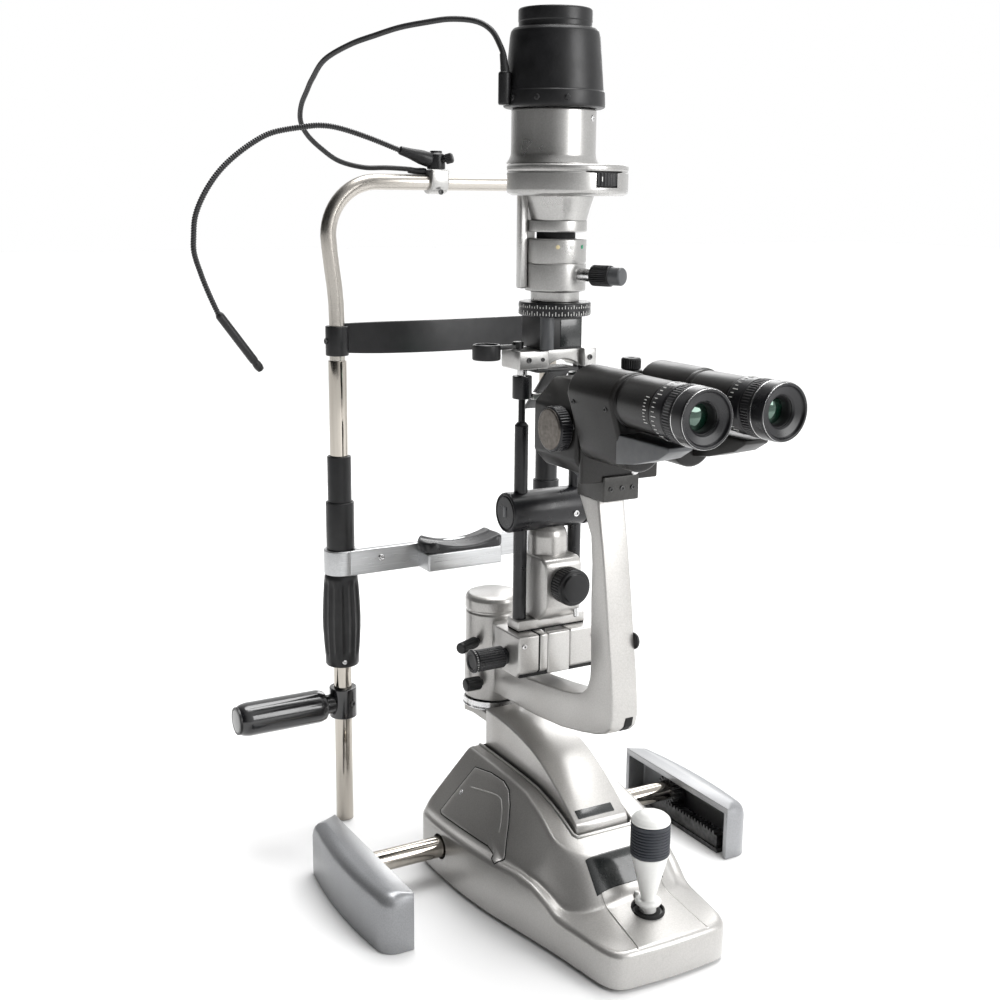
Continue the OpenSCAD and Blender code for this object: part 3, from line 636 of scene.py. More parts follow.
def barrel_grip(name, x, body, stands=()):
    """Fluted barrel that sets the chin rest's height."""
    profile = [(8.2, 151.3), (14.2, 151.3), (15, 152.5), (15.2, 160), (16, 170), (16.9, 186), (17, 196),
               (16.4, 212), (15.4, 228), (14.8, 234), (13.8, 235.8), (8.2, 235.8)]
    fine = []
    for (r0, z0), (r1, z1) in zip(profile, profile[1:]):
        steps = max(1, int(abs(z1 - z0) / 3))
        fine += [(r0 + (r1 - r0) * i / steps, z0 + (z1 - z0) * i / steps) for i in range(steps)]
    fine.append(profile[-1])
    obj = lathe(name, fine, (x, POST_Y, 0), soft=0, ripple=(16, 1.3, 162, 228, "flute"))
    finish_piece(obj, "black", body, stands)


def bow_path():
    """Middle line of the bent tube from the left post to the right one."""
    pts = [(-107, 427), (-107, 445), (-107, 460), (-107.3, 475), (-108.6, 490), (-110.6, 505),
           (-112.4, 520), (-113.5, 533)]
    pts += arc(-113.5 + 45, BOW_Z - 45, 45, 180, 90, 14)[1:]
    left = pts + [(x, BOW_Z) for x in (-55, -40, -20, 0)]
    whole = left + [(-x, z) for x, z in reversed(left[:-1])]
    return [(x, POST_Y, z) for x, z in whole]


def forehead_band():
    """Bowed band with clips round the tubes."""
    sag, width = 16, 28
    radius = (POST_X ** 2 + sag ** 2) / (2 * sag)
    centre = POST_Y - sag + radius
    half = math.asin(POST_X / radius)
    verts, faces = [], []
    section = rounded([(0, -width / 2 + 0.01), (0, -width / 2), (4, -width / 2), (4, width / 2),
                       (0, width / 2), (0, -width / 2 + 0.02)], 1.4, 4)
    steps = 60
    n = len(section)
    for i in range(steps + 1):
        a = -half + 2 * half * i / steps
        narrow = 1 - 0.12 * abs(a / half) ** 4
        for d, h in section:
            r = radius - d
            verts.append((r * math.sin(a), centre - r * math.cos(a), 446 + h * narrow))
    for i in range(steps):
        for k in range(n):
            m = (k + 1) % n
            faces.append((i * n + k, i * n + m, (i + 1) * n + m, (i + 1) * n + k))
    faces += [tuple(reversed(range(n))), tuple(steps * n + k for k in range(n))]
    band = finish_piece(sharp_by_angle(mesh_object("forehead_band_strap", verts, faces)), "black", "stand",
                        "forehead_band")
    for side, tag in ((-1, "left"), (1, "right")):
        clip = tube_ring(f"{tag}_band_clip", 6.8, 10, 431.3, 456.7, (side * POST_X, POST_Y, 0), soft=0.9)
        finish_piece(clip, "black", "stand")
        socket_screw(f"{tag}_band_screw", 2.6, 1.6, (side * (POST_X + 9.6), POST_Y, 444), (side, 0, 0),
                     "stand", "dark_steel")
    return band


def handle():
    hub = tube_ring("handle_collar", 8, 12.5, 101, 129, (-POST_X, POST_Y, 0), soft=1.0)
    stub = cylinder("stub", 9, 0, 16, (-POST_X - 10, POST_Y, 114), (-1, 0, 0), 0.5)
    finish_piece(join("handle_collar", [hub, stub]), "gloss", "stand", "handle_hub")
    socket_screw("handle_screw", 2.6, 1.6, (-POST_X + 4, POST_Y - 11.4, 115), (0.3, -1, 0), "stand",
                 "dark_steel")
    grip = lathe("handle_barrel", [(0, 0), (10.5, 0), (13.4, 1.6), (15, 7), (15, 74), (14, 79), (11, 84),
                                   (0, 84)], (-125, POST_Y, 114), (-1, 0, 0), 2.0, 64)
    finish_piece(grip, "gloss", "stand", "handle_grip")
    rim = lathe("handle_end", [(0, 80), (12.4, 80), (12.4, 83.9), (9.6, 83.9), (8.8, 82.8), (0, 82.8)],
                (-125, POST_Y, 114), (-1, 0, 0), 0.5, 64)
    finish_piece(rim, "black", "stand")


def lamp_clamp():
    body = slab("clamp_block", arc(POST_Y, BOW_Z, 10, 180, 360, 12) + [(POST_Y + 10, 589),
                                                                       (POST_Y - 10, 589)],
                -20, -3, "X", 1.2)
    finish_piece(body, "cast", "stand", "lamp_clamp")
    socket_screw("clamp_screw", 2.4, 1.5, (-11.5, POST_Y - 9.6, 570), (0, -1, 0), "stand", "dark_steel")
    gland = lathe("clamp_gland", [(0, 0), (3.5, 0), (3.5, 2), (0, 2)], (-20, 151, 587), (-1, 0, 0), 0.4)
    finish_piece(gland, "black", "stand")


# ---------------------------------------------------------------- chin rest and fixation lamp

def chin_rest():
    ends = []
    for side in (-1, 1):
        ends.append(tube_ring("end", 10.6, 15, 236.4, 259, (side * POST_X, POST_Y, 0), soft=1.2, seg=96))
    bar = slab("bar", [(-POST_X + 3, 131), (POST_X - 3, 131), (POST_X - 3, 138.6), (-POST_X + 3, 138.6)],
               236.4, 259, "Z", 1.2)
    finish_piece(join("chin_bar", ends + [bar]), "brushed", "chin_rest", "chin_bracket")
    block = slab("chin_block", [(-38, 108.4), (38, 108.4), (38, 132.8), (-38, 132.8)], 236.4, 253.8, "Z",
                 2.2, 4)
    finish_piece(block, "brushed", "chin_rest")
    for side, tag in ((-1, "left"), (1, "right")):
        collar = tube_ring(f"{tag}_chin_collar", 10.6, 12.5, 259.1, 302, (side * POST_X, POST_Y, 0), soft=0.9)
        finish_piece(collar, "black", "chin_rest", "chin_collars")
        slot_screw(f"{tag}_chin_screw", 3.2, 2.0, (side * 74, 131.2, 250), (0, -1, 0), "chin_rest")
    chin_cup()


def chin_cup():
    """Crescent cup: a dished pad, lower in the middle, with a raised lip."""
    nx, ny = 48, 20
    verts, faces = [], []
    top, bottom = [], []
    for j in range(ny + 1):
        v = j / ny
        y = 105 + 31 * v
        for i in range(nx + 1):
            u = -1 + 2 * i / nx
            x = 40 * u * (1 - 0.18 * abs(2 * v - 1) ** 3)
            dish = 2.8 + 7.2 * abs(u) ** 2
            lip = 1.2 * math.exp(-((v - 0.04) / 0.08) ** 2) + 2.0 * math.exp(-((v - 0.94) / 0.10) ** 2)
            edge = min(1, (1 - abs(u)) / 0.05) * min(1, (0.5 - abs(v - 0.5)) / 0.04)
            top.append((x, y, 254.3 + (dish + lip) * (0.7 + 0.3 * edge)))
            bottom.append((x, y, 254.1))
    verts = top + bottom
    row = nx + 1
    off = len(top)
    for j in range(ny):
        for i in range(nx):
            a, b, c, d = j * row + i, j * row + i + 1, (j + 1) * row + i + 1, (j + 1) * row + i
            faces += [(a, b, c, d), (off + d, off + c, off + b, off + a)]
    rim = [i for i in range(row)] + [j * row + nx for j in range(1, ny + 1)]
    rim += [ny * row + i for i in range(nx - 1, -1, -1)] + [j * row for j in range(ny - 1, 0, -1)]
    for a, b in zip(rim, rim[1:] + rim[:1]):
        faces.append((b, a, off + a, off + b))
    obj = mesh_object("chin_cup_pad", verts, faces)
    finish_piece(bevel(obj, 0.9, 3, 40), "anodised", "chin_rest", "chin_cup")


def fixation_lamp():
    joint = lathe("fixation_hub", [(0, 589.4), (8, 589.4), (8, 601.6), (5.4, 603.4), (5.2, 605), (0, 605)],
                  (-11, POST_Y, 0), soft=0.9)
    finish_piece(joint, "black", "fixation_lamp", "fixation_joint")
    knob = lathe("fixation_knob", [(0, 0), (2.4, 0), (2.4, 2.5), (4.4, 3.2), (4.4, 8.6), (3.2, 9.5),
                                   (0, 9.5)],
                 (-8, POST_Y - 6.6, 597), (0.75, -0.65, 0.25), 0.4, ripple=(18, 0.35, 3.3, 8.4, "knurl"))
    finish_piece(knob, "black", "fixation_lamp")
    ahead = Vector((-0.967, 0, 0.255))
    sleeve = lathe("fixation_sleeve", [(0, 6), (6.4, 6), (6.6, 9), (6.2, 16), (4.6, 26), (3.6, 36),
                                       (0, 37.2)],
                   (-11, POST_Y, 595.5), ahead, 0.8, 48)
    finish_piece(sleeve, "black", "fixation_lamp")
    path = smooth_path([(x, POST_Y, z) for x, z in NECK_ROUTE], 30)
    length = path_length(path)
    count = int(length / 0.42)
    even, walk, k = [], 0.0, 0
    for a, b in zip(path, path[1:]):
        step = (b - a).length
        while walk + step >= k * length / count:
            even.append(a.lerp(b, (k * length / count - walk) / step))
            k += 1
        walk += step
    neck = tube("gooseneck_ribs", even, 2.5, 12, ribs=(2.1, 0.5))
    finish_piece(neck, "anodised", "fixation_lamp", "gooseneck")
    wand_dir = Vector((0.592, 0, -0.806))
    wand = lathe("wand_body", [(0, 0.2), (2.6, 0.2), (3.7, 2.5), (3.7, 50), (3.3, 51), (3.3, 52.4),
                               (3.7, 53.4),
                               (3.7, 57), (2.8, 60.4), (0, 60.4)], (-212, POST_Y, 471), wand_dir, 0.5, 40)
    finish_piece(wand, "black", "fixation_lamp", "fixation_wand")
    tip = lathe("wand_tip", [(0, 60.0), (1.8, 60.0), (1.7, 60.8), (0, 60.9)], (-212, POST_Y, 471), wand_dir,
                0.2, 24)
    finish_piece(tip, "lens", "fixation_lamp")


# ---------------------------------------------------------------- base

FOOT_HALF = [(60, 49.4), (70, 47), (77, 42), (81, 34), (82.6, 22), (83, 5), (82.4, -25), (80.6, -50),
             (77, -78), (72, -104), (66.6, -132), (62, -158), (58.6, -182), (56.4, -198), (53.6, -209),
             (49, -216), (42, -219.4), (30, -220.8), (15, -221.7)]


def smooth_min(a, b, k):
    h = max(0.0, min(1.0, 0.5 + 0.5 * (b - a) / k))
    return b + (a - b) * h - k * h * (1 - h)


def smooth_max(a, b, k):
    return -smooth_min(-a, -b, k)


def line(points, t):
    """Value at t of a broken line of (t, value) points with rising t."""
    if t <= points[0][0]:
        return points[0][1]
    for (a, va), (b, vb) in zip(points, points[1:]):
        if t <= b:
            return va + (vb - va) * (t - a) / (b - a)
    return points[-1][1]


HALF_WIDTH = [(-222, 50), (-209, 53.6), (-182, 58.6), (-158, 62), (-132, 66.6), (-104, 72), (-78, 77),
              (-50, 80.6), (-25, 82.4), (5, 83), (50, 80)]
RIM_LINE = [(-200, 50), (-136, 74), (-120, 81), (-106, 87), (-90, 92.2), (-68, 97), (-45, 98.6), (-18, 99.2),
            (31, 99.8), (60, 98)]
OPEN_X, OPEN_Y = 27, -124.5
FENDER = [(-222, 30), (-160, 31.5), (-150, 34), (-138, 41), (-122, 47.5), (-105, 50), (-40, 49), (50, 46)]


def base_height(x, y):
    """Height of the base's upper side at a place: fender, front deck and the housing over them."""
    wide = line(HALF_WIDTH, y)
    across = min(1, abs(x) / wide)
    crown = line([(-222, 1.0), (-200, 6), (-170, 12.5), (-150, 13)], y)
    deck = 30.5 + crown * (1 - across ** 2.2)
    low = smooth_max(deck, line(FENDER, y), 3)
    foot = wide - 7
    lean = (foot - 38) / 54
    wall = 101.5 - (abs(x) - 37.5) / lean
    bow = 40 * (abs(x) / 58) ** 4
    nose = 77 + (y + 141 - bow) * 1.25
    rear = 96 + (31.5 - y) * 3.2
    high = smooth_min(smooth_min(wall, nose, 1.8), line(RIM_LINE, y), 3)
    high = smooth_min(high, rear, 8)
    return smooth_max(low, high, 5)


def base_shell():
    """The cast cover: rings of points from the outline in to the spine, lifted to base_height."""
    right = smooth_path([(x, y, 0) for x, y in FOOT_HALF], 6)
    outline = [(p.x, p.y) for p in right]
    outline += [(0, -222)] + [(-x, y) for x, y in reversed(outline)] + [(0, 49.8)]
    n = len(outline)
    shares = [1, 0.995, 0.985, 0.97, 0.955, 0.94, 0.92] + [0.90 - 0.90 * k / 74 for k in range(75)]
    verts, faces = [], []
    for x, y in outline:
        verts.append((x, y, 3))
    for share in shares:
        for x, y in outline:
            sy = max(-150, min(0, y))
            px, py = x * share, sy + (y - sy) * share
            z = base_height(px, py)
            inward = math.hypot(x - px, y - py)
            if inward < 5:
                z -= 5 - math.sqrt(max(0, 25 - (5 - inward) ** 2))
            verts.append((px, py, z))
    rows = len(shares) + 1
    for i in range(rows - 1):
        for k in range(n):
            m = (k + 1) % n
            faces.append((i * n + k, (i + 1) * n + k, (i + 1) * n + m, i * n + m))
    faces.append(tuple(range(n)))
    shell = mesh_object("base_cover", verts, faces)
    bm = bmesh.new()
    bm.from_mesh(shell.data)
    bmesh.ops.remove_doubles(bm, verts=bm.verts, dist=2e-5)
    bmesh.ops.holes_fill(bm, edges=bm.edges, sides=0)
    bmesh.ops.recalc_face_normals(bm, faces=bm.faces)
    bm.to_mesh(shell.data)
    bm.free()
    opening = slab("opening", [(-OPEN_X, OPEN_Y + 3), (-OPEN_X + 3, OPEN_Y), (OPEN_X - 3, OPEN_Y),
                               (OPEN_X, OPEN_Y + 3), (OPEN_X, 28), (-OPEN_X, 28)], 8, 130, "Z", 0)
    hollow = slab("hollow", [(-44, -138), (44, -138), (66, 36), (-66, 36)], 1, 38, "Z", 0)
    stick_hole = cylinder("stick_hole", 13, 8, 70, (0, STICK_Y, 0), seg=64)
    axle_hole = cylinder("axle_hole", 11, -95, 95, (0, 0, 29), (1, 0, 0), seg=64)
    front_room = box("front_room", (-40, -206, 1), (40, -148, 24), 0)
    shell = cut(shell, opening, hollow, stick_hole, axle_hole, front_room, deck_groove(-1),
                deck_groove(1))
    sharp_by_angle(shell, 34)
    finish_piece(shell, "silver", "base", "base_shell")
    return shell


def deck_groove(side):
    """Cutter for a joint line on the deck at one side of the joystick."""
    pts = []
    for t in range(33):
        y = -160 - 63.5 * t / 32
        x = side * (27.5 + 1.5 * math.sin(t / 32 * math.pi) + 5 * (t / 32) ** 3)
        pts.append((x, y, base_height(x, y) + 0.2))
    return tube("groove", pts, 0.9, 8)


def rim_bead():
    """Rounded bead round the opening of the base."""
    x, n = OPEN_X + 1.3, 40
    left = [(-x, 29 + (OPEN_Y + 2 - 29) * i / n) for i in range(n + 1)]
    front = [(-x + 2 * x * i / 24, OPEN_Y - 1.3) for i in range(1, 24)]
    plan = left + front + [(-a, b) for a, b in reversed(left)]
    path = [(a, b, base_height(a, b) + 0.1) for a, b in plan]
    finish_piece(tube("opening_bead", path, 1.5, 12), "silver", "base")


def on_shell(shell, y, z):
    """Point of the base's left side wall at a place, with its outward normal."""
    hit, loc, normal, _ = shell.ray_cast(Vector((-150, y, z)) * MM, Vector((1, 0, 0)))
    return (loc / MM, normal) if hit else (Vector((-60, y, z)), Vector((-1, 0, 0)))


def side_panel(shell, side, tag):
    """Panel let into the side wall: a dark joint line, the panel and a raised inner border."""
    corners = [(20, 51), (7, 91), (-17, 94.5), (-38, 95), (-50, 92), (-60, 84), (-70, 72), (-79, 58),
               (-84, 50.5), (-82, 47.5), (-60, 52), (-30, 51.6), (0, 50.6), (16, 49.8)]
    pts = []
    for k, (y, z) in enumerate(corners):
        y2, z2 = corners[(k + 1) % len(corners)]
        for i in range(6):
            t = i / 6
            pts.append((y + (y2 - y) * t, z + (z2 - z) * t))
    cy, cz = -28, 70
    spots = [on_shell(shell, cy + (y - cy) * 0.985, cz + (z - cz) * 0.985) for y, z in pts]
    seam = [p + n * 0.05 for p, n in spots]
    seam_obj = tube(f"{tag}_panel_joint", seam + [seam[0]], 0.55, 8, caps=False)
    panel_rings = []
    for share, lift in ((0.975, 0.0), (0.965, 0.75), (0.95, 0.9), (0.80, 0.9), (0.6, 0.9), (0.4, 0.9),
                        (0.2, 0.9), (0.05, 0.9)):
        ring = []
        for y, z in pts:
            p, n = on_shell(shell, cy + (y - cy) * share, cz + (z - cz) * share)
            ring.append(p + n * lift)
        panel_rings.append(ring)
    n = len(pts)
    verts = [v for ring in panel_rings for v in ring]
    faces = [(i * n + k, i * n + (k + 1) % n, (i + 1) * n + (k + 1) % n, (i + 1) * n + k)
             for i in range(len(panel_rings) - 1) for k in range(n)]
    faces.append(tuple((len(panel_rings) - 1) * n + k for k in range(n)))
    panel = mesh_object(f"{tag}_side_panel", verts, faces)
    bm = bmesh.new()
    bm.from_mesh(panel.data)
    bmesh.ops.recalc_face_normals(bm, faces=bm.faces)
    bm.to_mesh(panel.data)
    bm.free()
    if panel.data.polygons[len(panel.data.polygons) // 2].normal.x > 0:
        panel.data.flip_normals()
    inner = [(-4, 78), (-40, 84), (-52, 80), (-60, 71), (-64, 64)]
    inner_pts = [on_shell(shell, y, z) for y, z in
                 [(p.x, p.y) for p in smooth_path([(a, b, 0) for a, b in inner], 6)]]
    border = tube(f"{tag}_panel_border", [p + n * 0.8 for p, n in inner_pts], 0.5, 8)
    spot, normal = on_shell(shell, 4.4, 71)
    items = [(seam_obj, "gap"), (panel, "silver"), (border, "silver")]
    for obj, mat in items:
        if side > 0:
            copy = mirrored(obj, obj.name)
            old = obj.name
            bpy.data.objects.remove(obj)
            obj = copy
            obj.name = old
        finish_piece(obj, mat, "base")
    place = spot + normal * 0.7
    flip = Vector((side * -1, 1, 1))
    slot_screw(f"{tag}_panel_screw", 2.2, 1.0, Vector((place.x * flip.x, place.y, place.z)),
               (normal.x * flip.x, normal.y, normal.z), "base")


def front_plate():
    """Blank dark plate on the sloping front face."""
    def place(u, v, lift):
        y = -144.5 - 17.5 * v
        return (u, y, base_height(u, y) + lift)
    n = 16
    verts, faces = [], []
    for lift in (-0.6, 0.7):
        for j in range(n + 1):
            for i in range(n + 1):
                verts.append(place(-31 + 62 * i / n, j / n, lift))
    row = n + 1
    off = row * row
    for j in range(n):
        for i in range(n):
            a, b, c, d = j * row + i, j * row + i + 1, (j + 1) * row + i + 1, (j + 1) * row + i
            faces += [(off + a, off + d, off + c, off + b), (a, b, c, d)]
    rim = list(range(row)) + [j * row + n for j in range(1, row)] + \
        [n * row + i for i in range(n - 1, -1, -1)] + [j * row for j in range(n - 1, 0, -1)]
    for a, b in zip(rim, rim[1:] + rim[:1]):
        faces.append((a, b, off + b, off + a))
    obj = mesh_object("blank_front_plate", verts, faces)
    bm = bmesh.new()
    bm.from_mesh(obj.data)
    bmesh.ops.recalc_face_normals(bm, faces=bm.faces)
    bm.to_mesh(obj.data)
    bm.free()
    finish_piece(bevel(obj, 0.3, 2, 50), "plate", "base")


def joystick():
    """Pale cone and cap, dark ribbed sleeve, and the dark ring in the deck."""
    ring = tube_ring("stick_well", 11.6, 13, 30, base_height(13, STICK_Y) + 0.6, (0, STICK_Y, 0), soft=0.4)
    finish_piece(ring, "gap", "base")
    floor = lathe("stick_boot", [(0, 38.6), (7.4, 38.6), (11.4, 37.6), (11.4, 36), (0, 36)],
                  (0, STICK_Y, 0), soft=0.6)
    finish_piece(floor, "gap", "joystick_fork")
    cone = lathe("stick_cone", [(0, 28), (6, 29), (6.5, 38), (6.5, 44.4), (9.8, 44.6), (10, 47), (8.4, 47.8),
                                (5.4, 48), (5.6, 50), (10.0, 68), (14.3, 85.4), (0, 85.4)],
                 (0, STICK_Y, 0), soft=0.8)
    finish_piece(cone, "white", "joystick", "joystick_cone")
    profile = [(0, 85.8), (14.6, 85.8), (15, 86.4), (15, 88.6)]
    for k in range(8):
        z = 89 + k * 2.4
        profile += [(14.3, z), (15, z + 0.5), (15, z + 1.5), (14.3, z + 2.0)]
    profile += [(15, 108.8), (15, 110.8), (14.4, 111.3), (0, 111.3)]
    finish_piece(lathe("stick_sleeve", profile, (0, STICK_Y, 0), soft=0.3, seg=96), "rubber", "joystick_grip",
                 "joystick_sleeve")
    cap = lathe("stick_cap", [(0, 111.5), (14.6, 111.5), (14.9, 112.4), (14.5, 114.2), (12, 116.6),
                              (8, 118.4),
                              (4, 119.2), (0, 119.4)], (0, STICK_Y, 0), soft=0.9)
    finish_piece(cap, "white", "joystick_grip", "joystick_cap")
    pin = lathe("deck_pin", [(0, 42), (2.0, 42), (2.0, 46.4), (1.4, 47.2), (0, 47.2)], (0, STICK_Y + 15, 0),
                soft=0.3, seg=24)
    finish_piece(pin, "white", "base")


# ---------------------------------------------------------------- lift

WEDGE_TOP = [(26, 133), (6, 132.8), (-12, 131.8), (-30, 129.2), (-49, 125), (-64, 119.6), (-78, 113),
             (-89, 106.8),
             (-100, 99.6), (-110, 92.8), (-119.4, 86.2)]


def wedge_cover():
    outline = WEDGE_TOP + [(-121.3, 82), (-121.5, 58), (26, 58)]
    body = slab("wedge_body", outline, -24.7, 24.7, "X", 1.6, 4)
    tool = slab("tool", [(y, z - 3.8) for y, z in WEDGE_TOP[1:-1]] + [(-117, 80), (-117.5, 50), (22, 50),
                                                                      (22, 128)], -21, 21, "X", 0)
    body = sharp_by_angle(cut(body, tool), 34)
    finish_piece(body, "silver", "lift", "wedge_cover")
    neck = slab("wedge_neck", [(20, 20), (-20, 20), (-20, SWIVEL_Y)] + arc(0, SWIVEL_Y, 25, 155, 25, 16)
                + [(20, SWIVEL_Y)], 117.5, 126, "Z", 1.0)
    finish_piece(neck, "silver", "lift")
    collar = lathe("swivel_collar", [(10, 126), (26.5, 126), (26.5, 129), (25.6, 129.6), (25.6, 132.8),
                                     (10, 132.8)], (0, SWIVEL_Y, 0), soft=0.6)
    finish_piece(collar, "steel", "lift")
    # Blank label plate on the slope
    a, b = Vector((0, -110, 92.8)), Vector((0, -119.4, 86.2))
    along = (a - b).normalized()
    out = Vector((0, -along.z, along.y))
    centre = Vector((-2.5, 0, 0)) + a.lerp(b, 0.35)
    plate = box("blank_label_plate", (-17, -3.8, -0.4), (17, 3.8, 0.75), 0.35)
    m = Matrix.Identity(4)
    for r, vec in enumerate((Vector((1, 0, 0)), along, out)):
        for c in range(3):
            m[c][r] = vec[c]
    plate.data.transform(m)
    plate.data.transform(Matrix.Translation(centre * MM))
    finish_piece(plate, "plate", "lift")
    slot_screw("wedge_screw", 2.4, 1.2, (24.5, -84, 101), (1, 0, 0), "lift")


# ---------------------------------------------------------------- microscope

ARM = [(34, 143), (0, 144.4), (-37, 146), (-75, 150), (-105, 156), (-126, 161.4), (-139, 166.6),
       (-145.4, 172.4), (-147.8, 181), (-146.6, 197), (-144.2, 216), (-141, 235), (-138, 254), (-135, 273),
       (-128.6, 310), (-121, 347), (-94, 347), (-104, 331), (-112, 317), (-114.4, 296), (-114.2, 267),
       (-115.2, 240), (-116, 219), (-115.4, 205), (-111.6, 195), (-104, 188.6), (-92, 184.8), (-75, 181.6),
       (-58, 179), (-30, 175.4), (0, 172), (34, 168.6)]


def microscope_arm():
    arm = slab("arm", ARM, -12, 12, "X", 1.7, 4)
    finish_piece(arm, "silver", "microscope", "microscope_arm")
    hub = lathe("arm_hub", [(10.2, 134), (24.4, 134), (25, 134.8), (25, 170), (24, 172), (10.2, 172)],
                (0, SWIVEL_Y, 0), soft=0.9, seg=96)
    finish_piece(hub, "silver", "microscope")
    slit = [(-147.6, 180.5), (-146.0, 173.2), (-139.6, 167.3), (-136.4, 165.8), (-138.2, 168.6),
            (-143.8, 174),
            (-145.8, 181)]
    slot = slab("arm_slot", [(y - 0.25, z - 0.35) for y, z in slit], 0.5, 7.5, "X", 0.2)
    finish_piece(slot, "gap", "microscope")
    cap = lathe("arm_cap", [(0, -1), (6.6, -1), (6.6, 0.4), (5.4, 1.8), (3, 2.8), (0, 3)], (12, -139, 238),
                (1, 0, 0), 0.5, 40)
    finish_piece(cap, "black", "microscope")
    screw = [(0, 0), (3, 0), (3, 2), (5.4, 2.6), (6, 3.4), (6, 15.6), (5, 17), (0, 17)]
    knob = lathe("arm_lock", screw, (-21.5, 38, 153), (-1, 0, 0), 0.5, ripple=(20, 0.5, 4, 15.4, "knurl"))
    finish_piece(knob, "black", "microscope_lock", "microscope_lock_knob")


def microscope_head():
    section = [(20, 434), (38, 416), (38, 379), (27, 367), (-27, 367), (-38, 379), (-38, 416), (-20, 434)]
    section = [(x * 0.975, z) for x, z in section]
    body = slab("scope_body", section, -128, -68, "Y", 2.6, 4)
    finish_piece(body, "crackle", "microscope", "microscope_body")
    back = slab("scope_back", [(34, 362), (34, 424), (22, 438), (-22, 438), (-34, 424), (-34, 362)],
                -132, -127, "Y", 1.5)
    finish_piece(back, "crackle", "microscope")
    web = box("scope_web", (-3.7, -149.6, 381), (3.7, -131, 444), 0.8)
    finish_piece(web, "crackle", "microscope")
    pad = lathe("screw_pad", [(0, 442), (8.3, 442), (8.3, 446), (0, 446)], (0, -141.5, 0), soft=0.5)
    finish_piece(pad, "crackle", "microscope")
    ring = lathe("objective_ring", [(16.4, -70), (19, -70), (19, -64.4), (18.4, -64), (17.4, -64),
                                    (16.4, -65.5), (16.4, -70)], (0, 0, SCOPE_Z), (0, 1, 0), 0.3)
    finish_piece(ring, "anodised", "microscope")
    lens = lathe("objective_lens", [(0, -71), (16.4, -71), (16.4, -67.5), (10, -66.3), (0, -65.8)],
                 (0, 0, SCOPE_Z), (0, 1, 0), 0.4)
    finish_piece(lens, "lens", "microscope")
    bracket = box("arm_bracket", (-16, -134, 347.2), (16, -98, 366.8), 1.4)
    finish_piece(bracket, "cast_dark", "microscope", "microscope_bracket")
    for i, x in enumerate((-9.5, 0.5, 10)):
        socket_screw(f"bracket_screw_{i}", 1.9, 1.0, (x, -133.9, 357), (0, -1, 0), "microscope", "dark_steel")
    for i, (y, z) in enumerate(((-102, 423), (-124, 422), (-124, 404))):
        lean = Vector((-0.7, 0, 0.7)) if z > 416 else Vector((-1, 0, 0))
        x = -28.6 if z > 416 else -36.9
        for side in (1, -1):
            socket_screw(f"body_screw_{i}_{side}", 2.1, 1.1, (x * side, y, z), (lean.x * side, 0, lean.z),
                         "microscope", "dark_steel")
    # Grey lower cover
    cover = slab("lower_cover", [(-15, 360), (15, 360), (24, 367.5), (-24, 367.5)], -127, -100, "Y", 1.0)
    finish_piece(cover, "grey", "microscope")


def magnification_knobs():
    items = []
    for side, tag in ((-1, "left"), (1, "right")):
        rim = lathe(f"{tag}_power_rim", [(0, 37.6), (16.2, 37.6), (17, 38.4), (17, 46.0), (16.3, 47.4),
                                         (15.2, 47.8), (0, 47.6)], (0, -108, SCOPE_Z + 3),
                    (side, 0, 0), 0.5, ripple=(44, 0.45, 38.6, 46.4, "knurl"))
        finish_piece(rim, "anodised", "magnification", "magnification_knobs")
        face = lathe(f"{tag}_power_face", [(0, 47.4), (15.6, 47.4), (15.2, 48.2), (14.4, 48.7), (0, 48.75)],
                     (0, -108, SCOPE_Z + 3), (side, 0, 0), 0.3)
        finish_piece(face, "knob_face", "magnification")
        items.append(rim)
    drum = cylinder("power_drum", 14.9, -37.6, 37.6, (0, -108, SCOPE_Z + 3), (1, 0, 0))
    finish_piece(drum, "anodised", "magnification")
    return items


EYE_X = 32 - 85 * math.sin(math.radians(2.5))
EYE_DIR = Vector((-math.sin(math.radians(2.5)), -math.cos(math.radians(2.5)), 0))


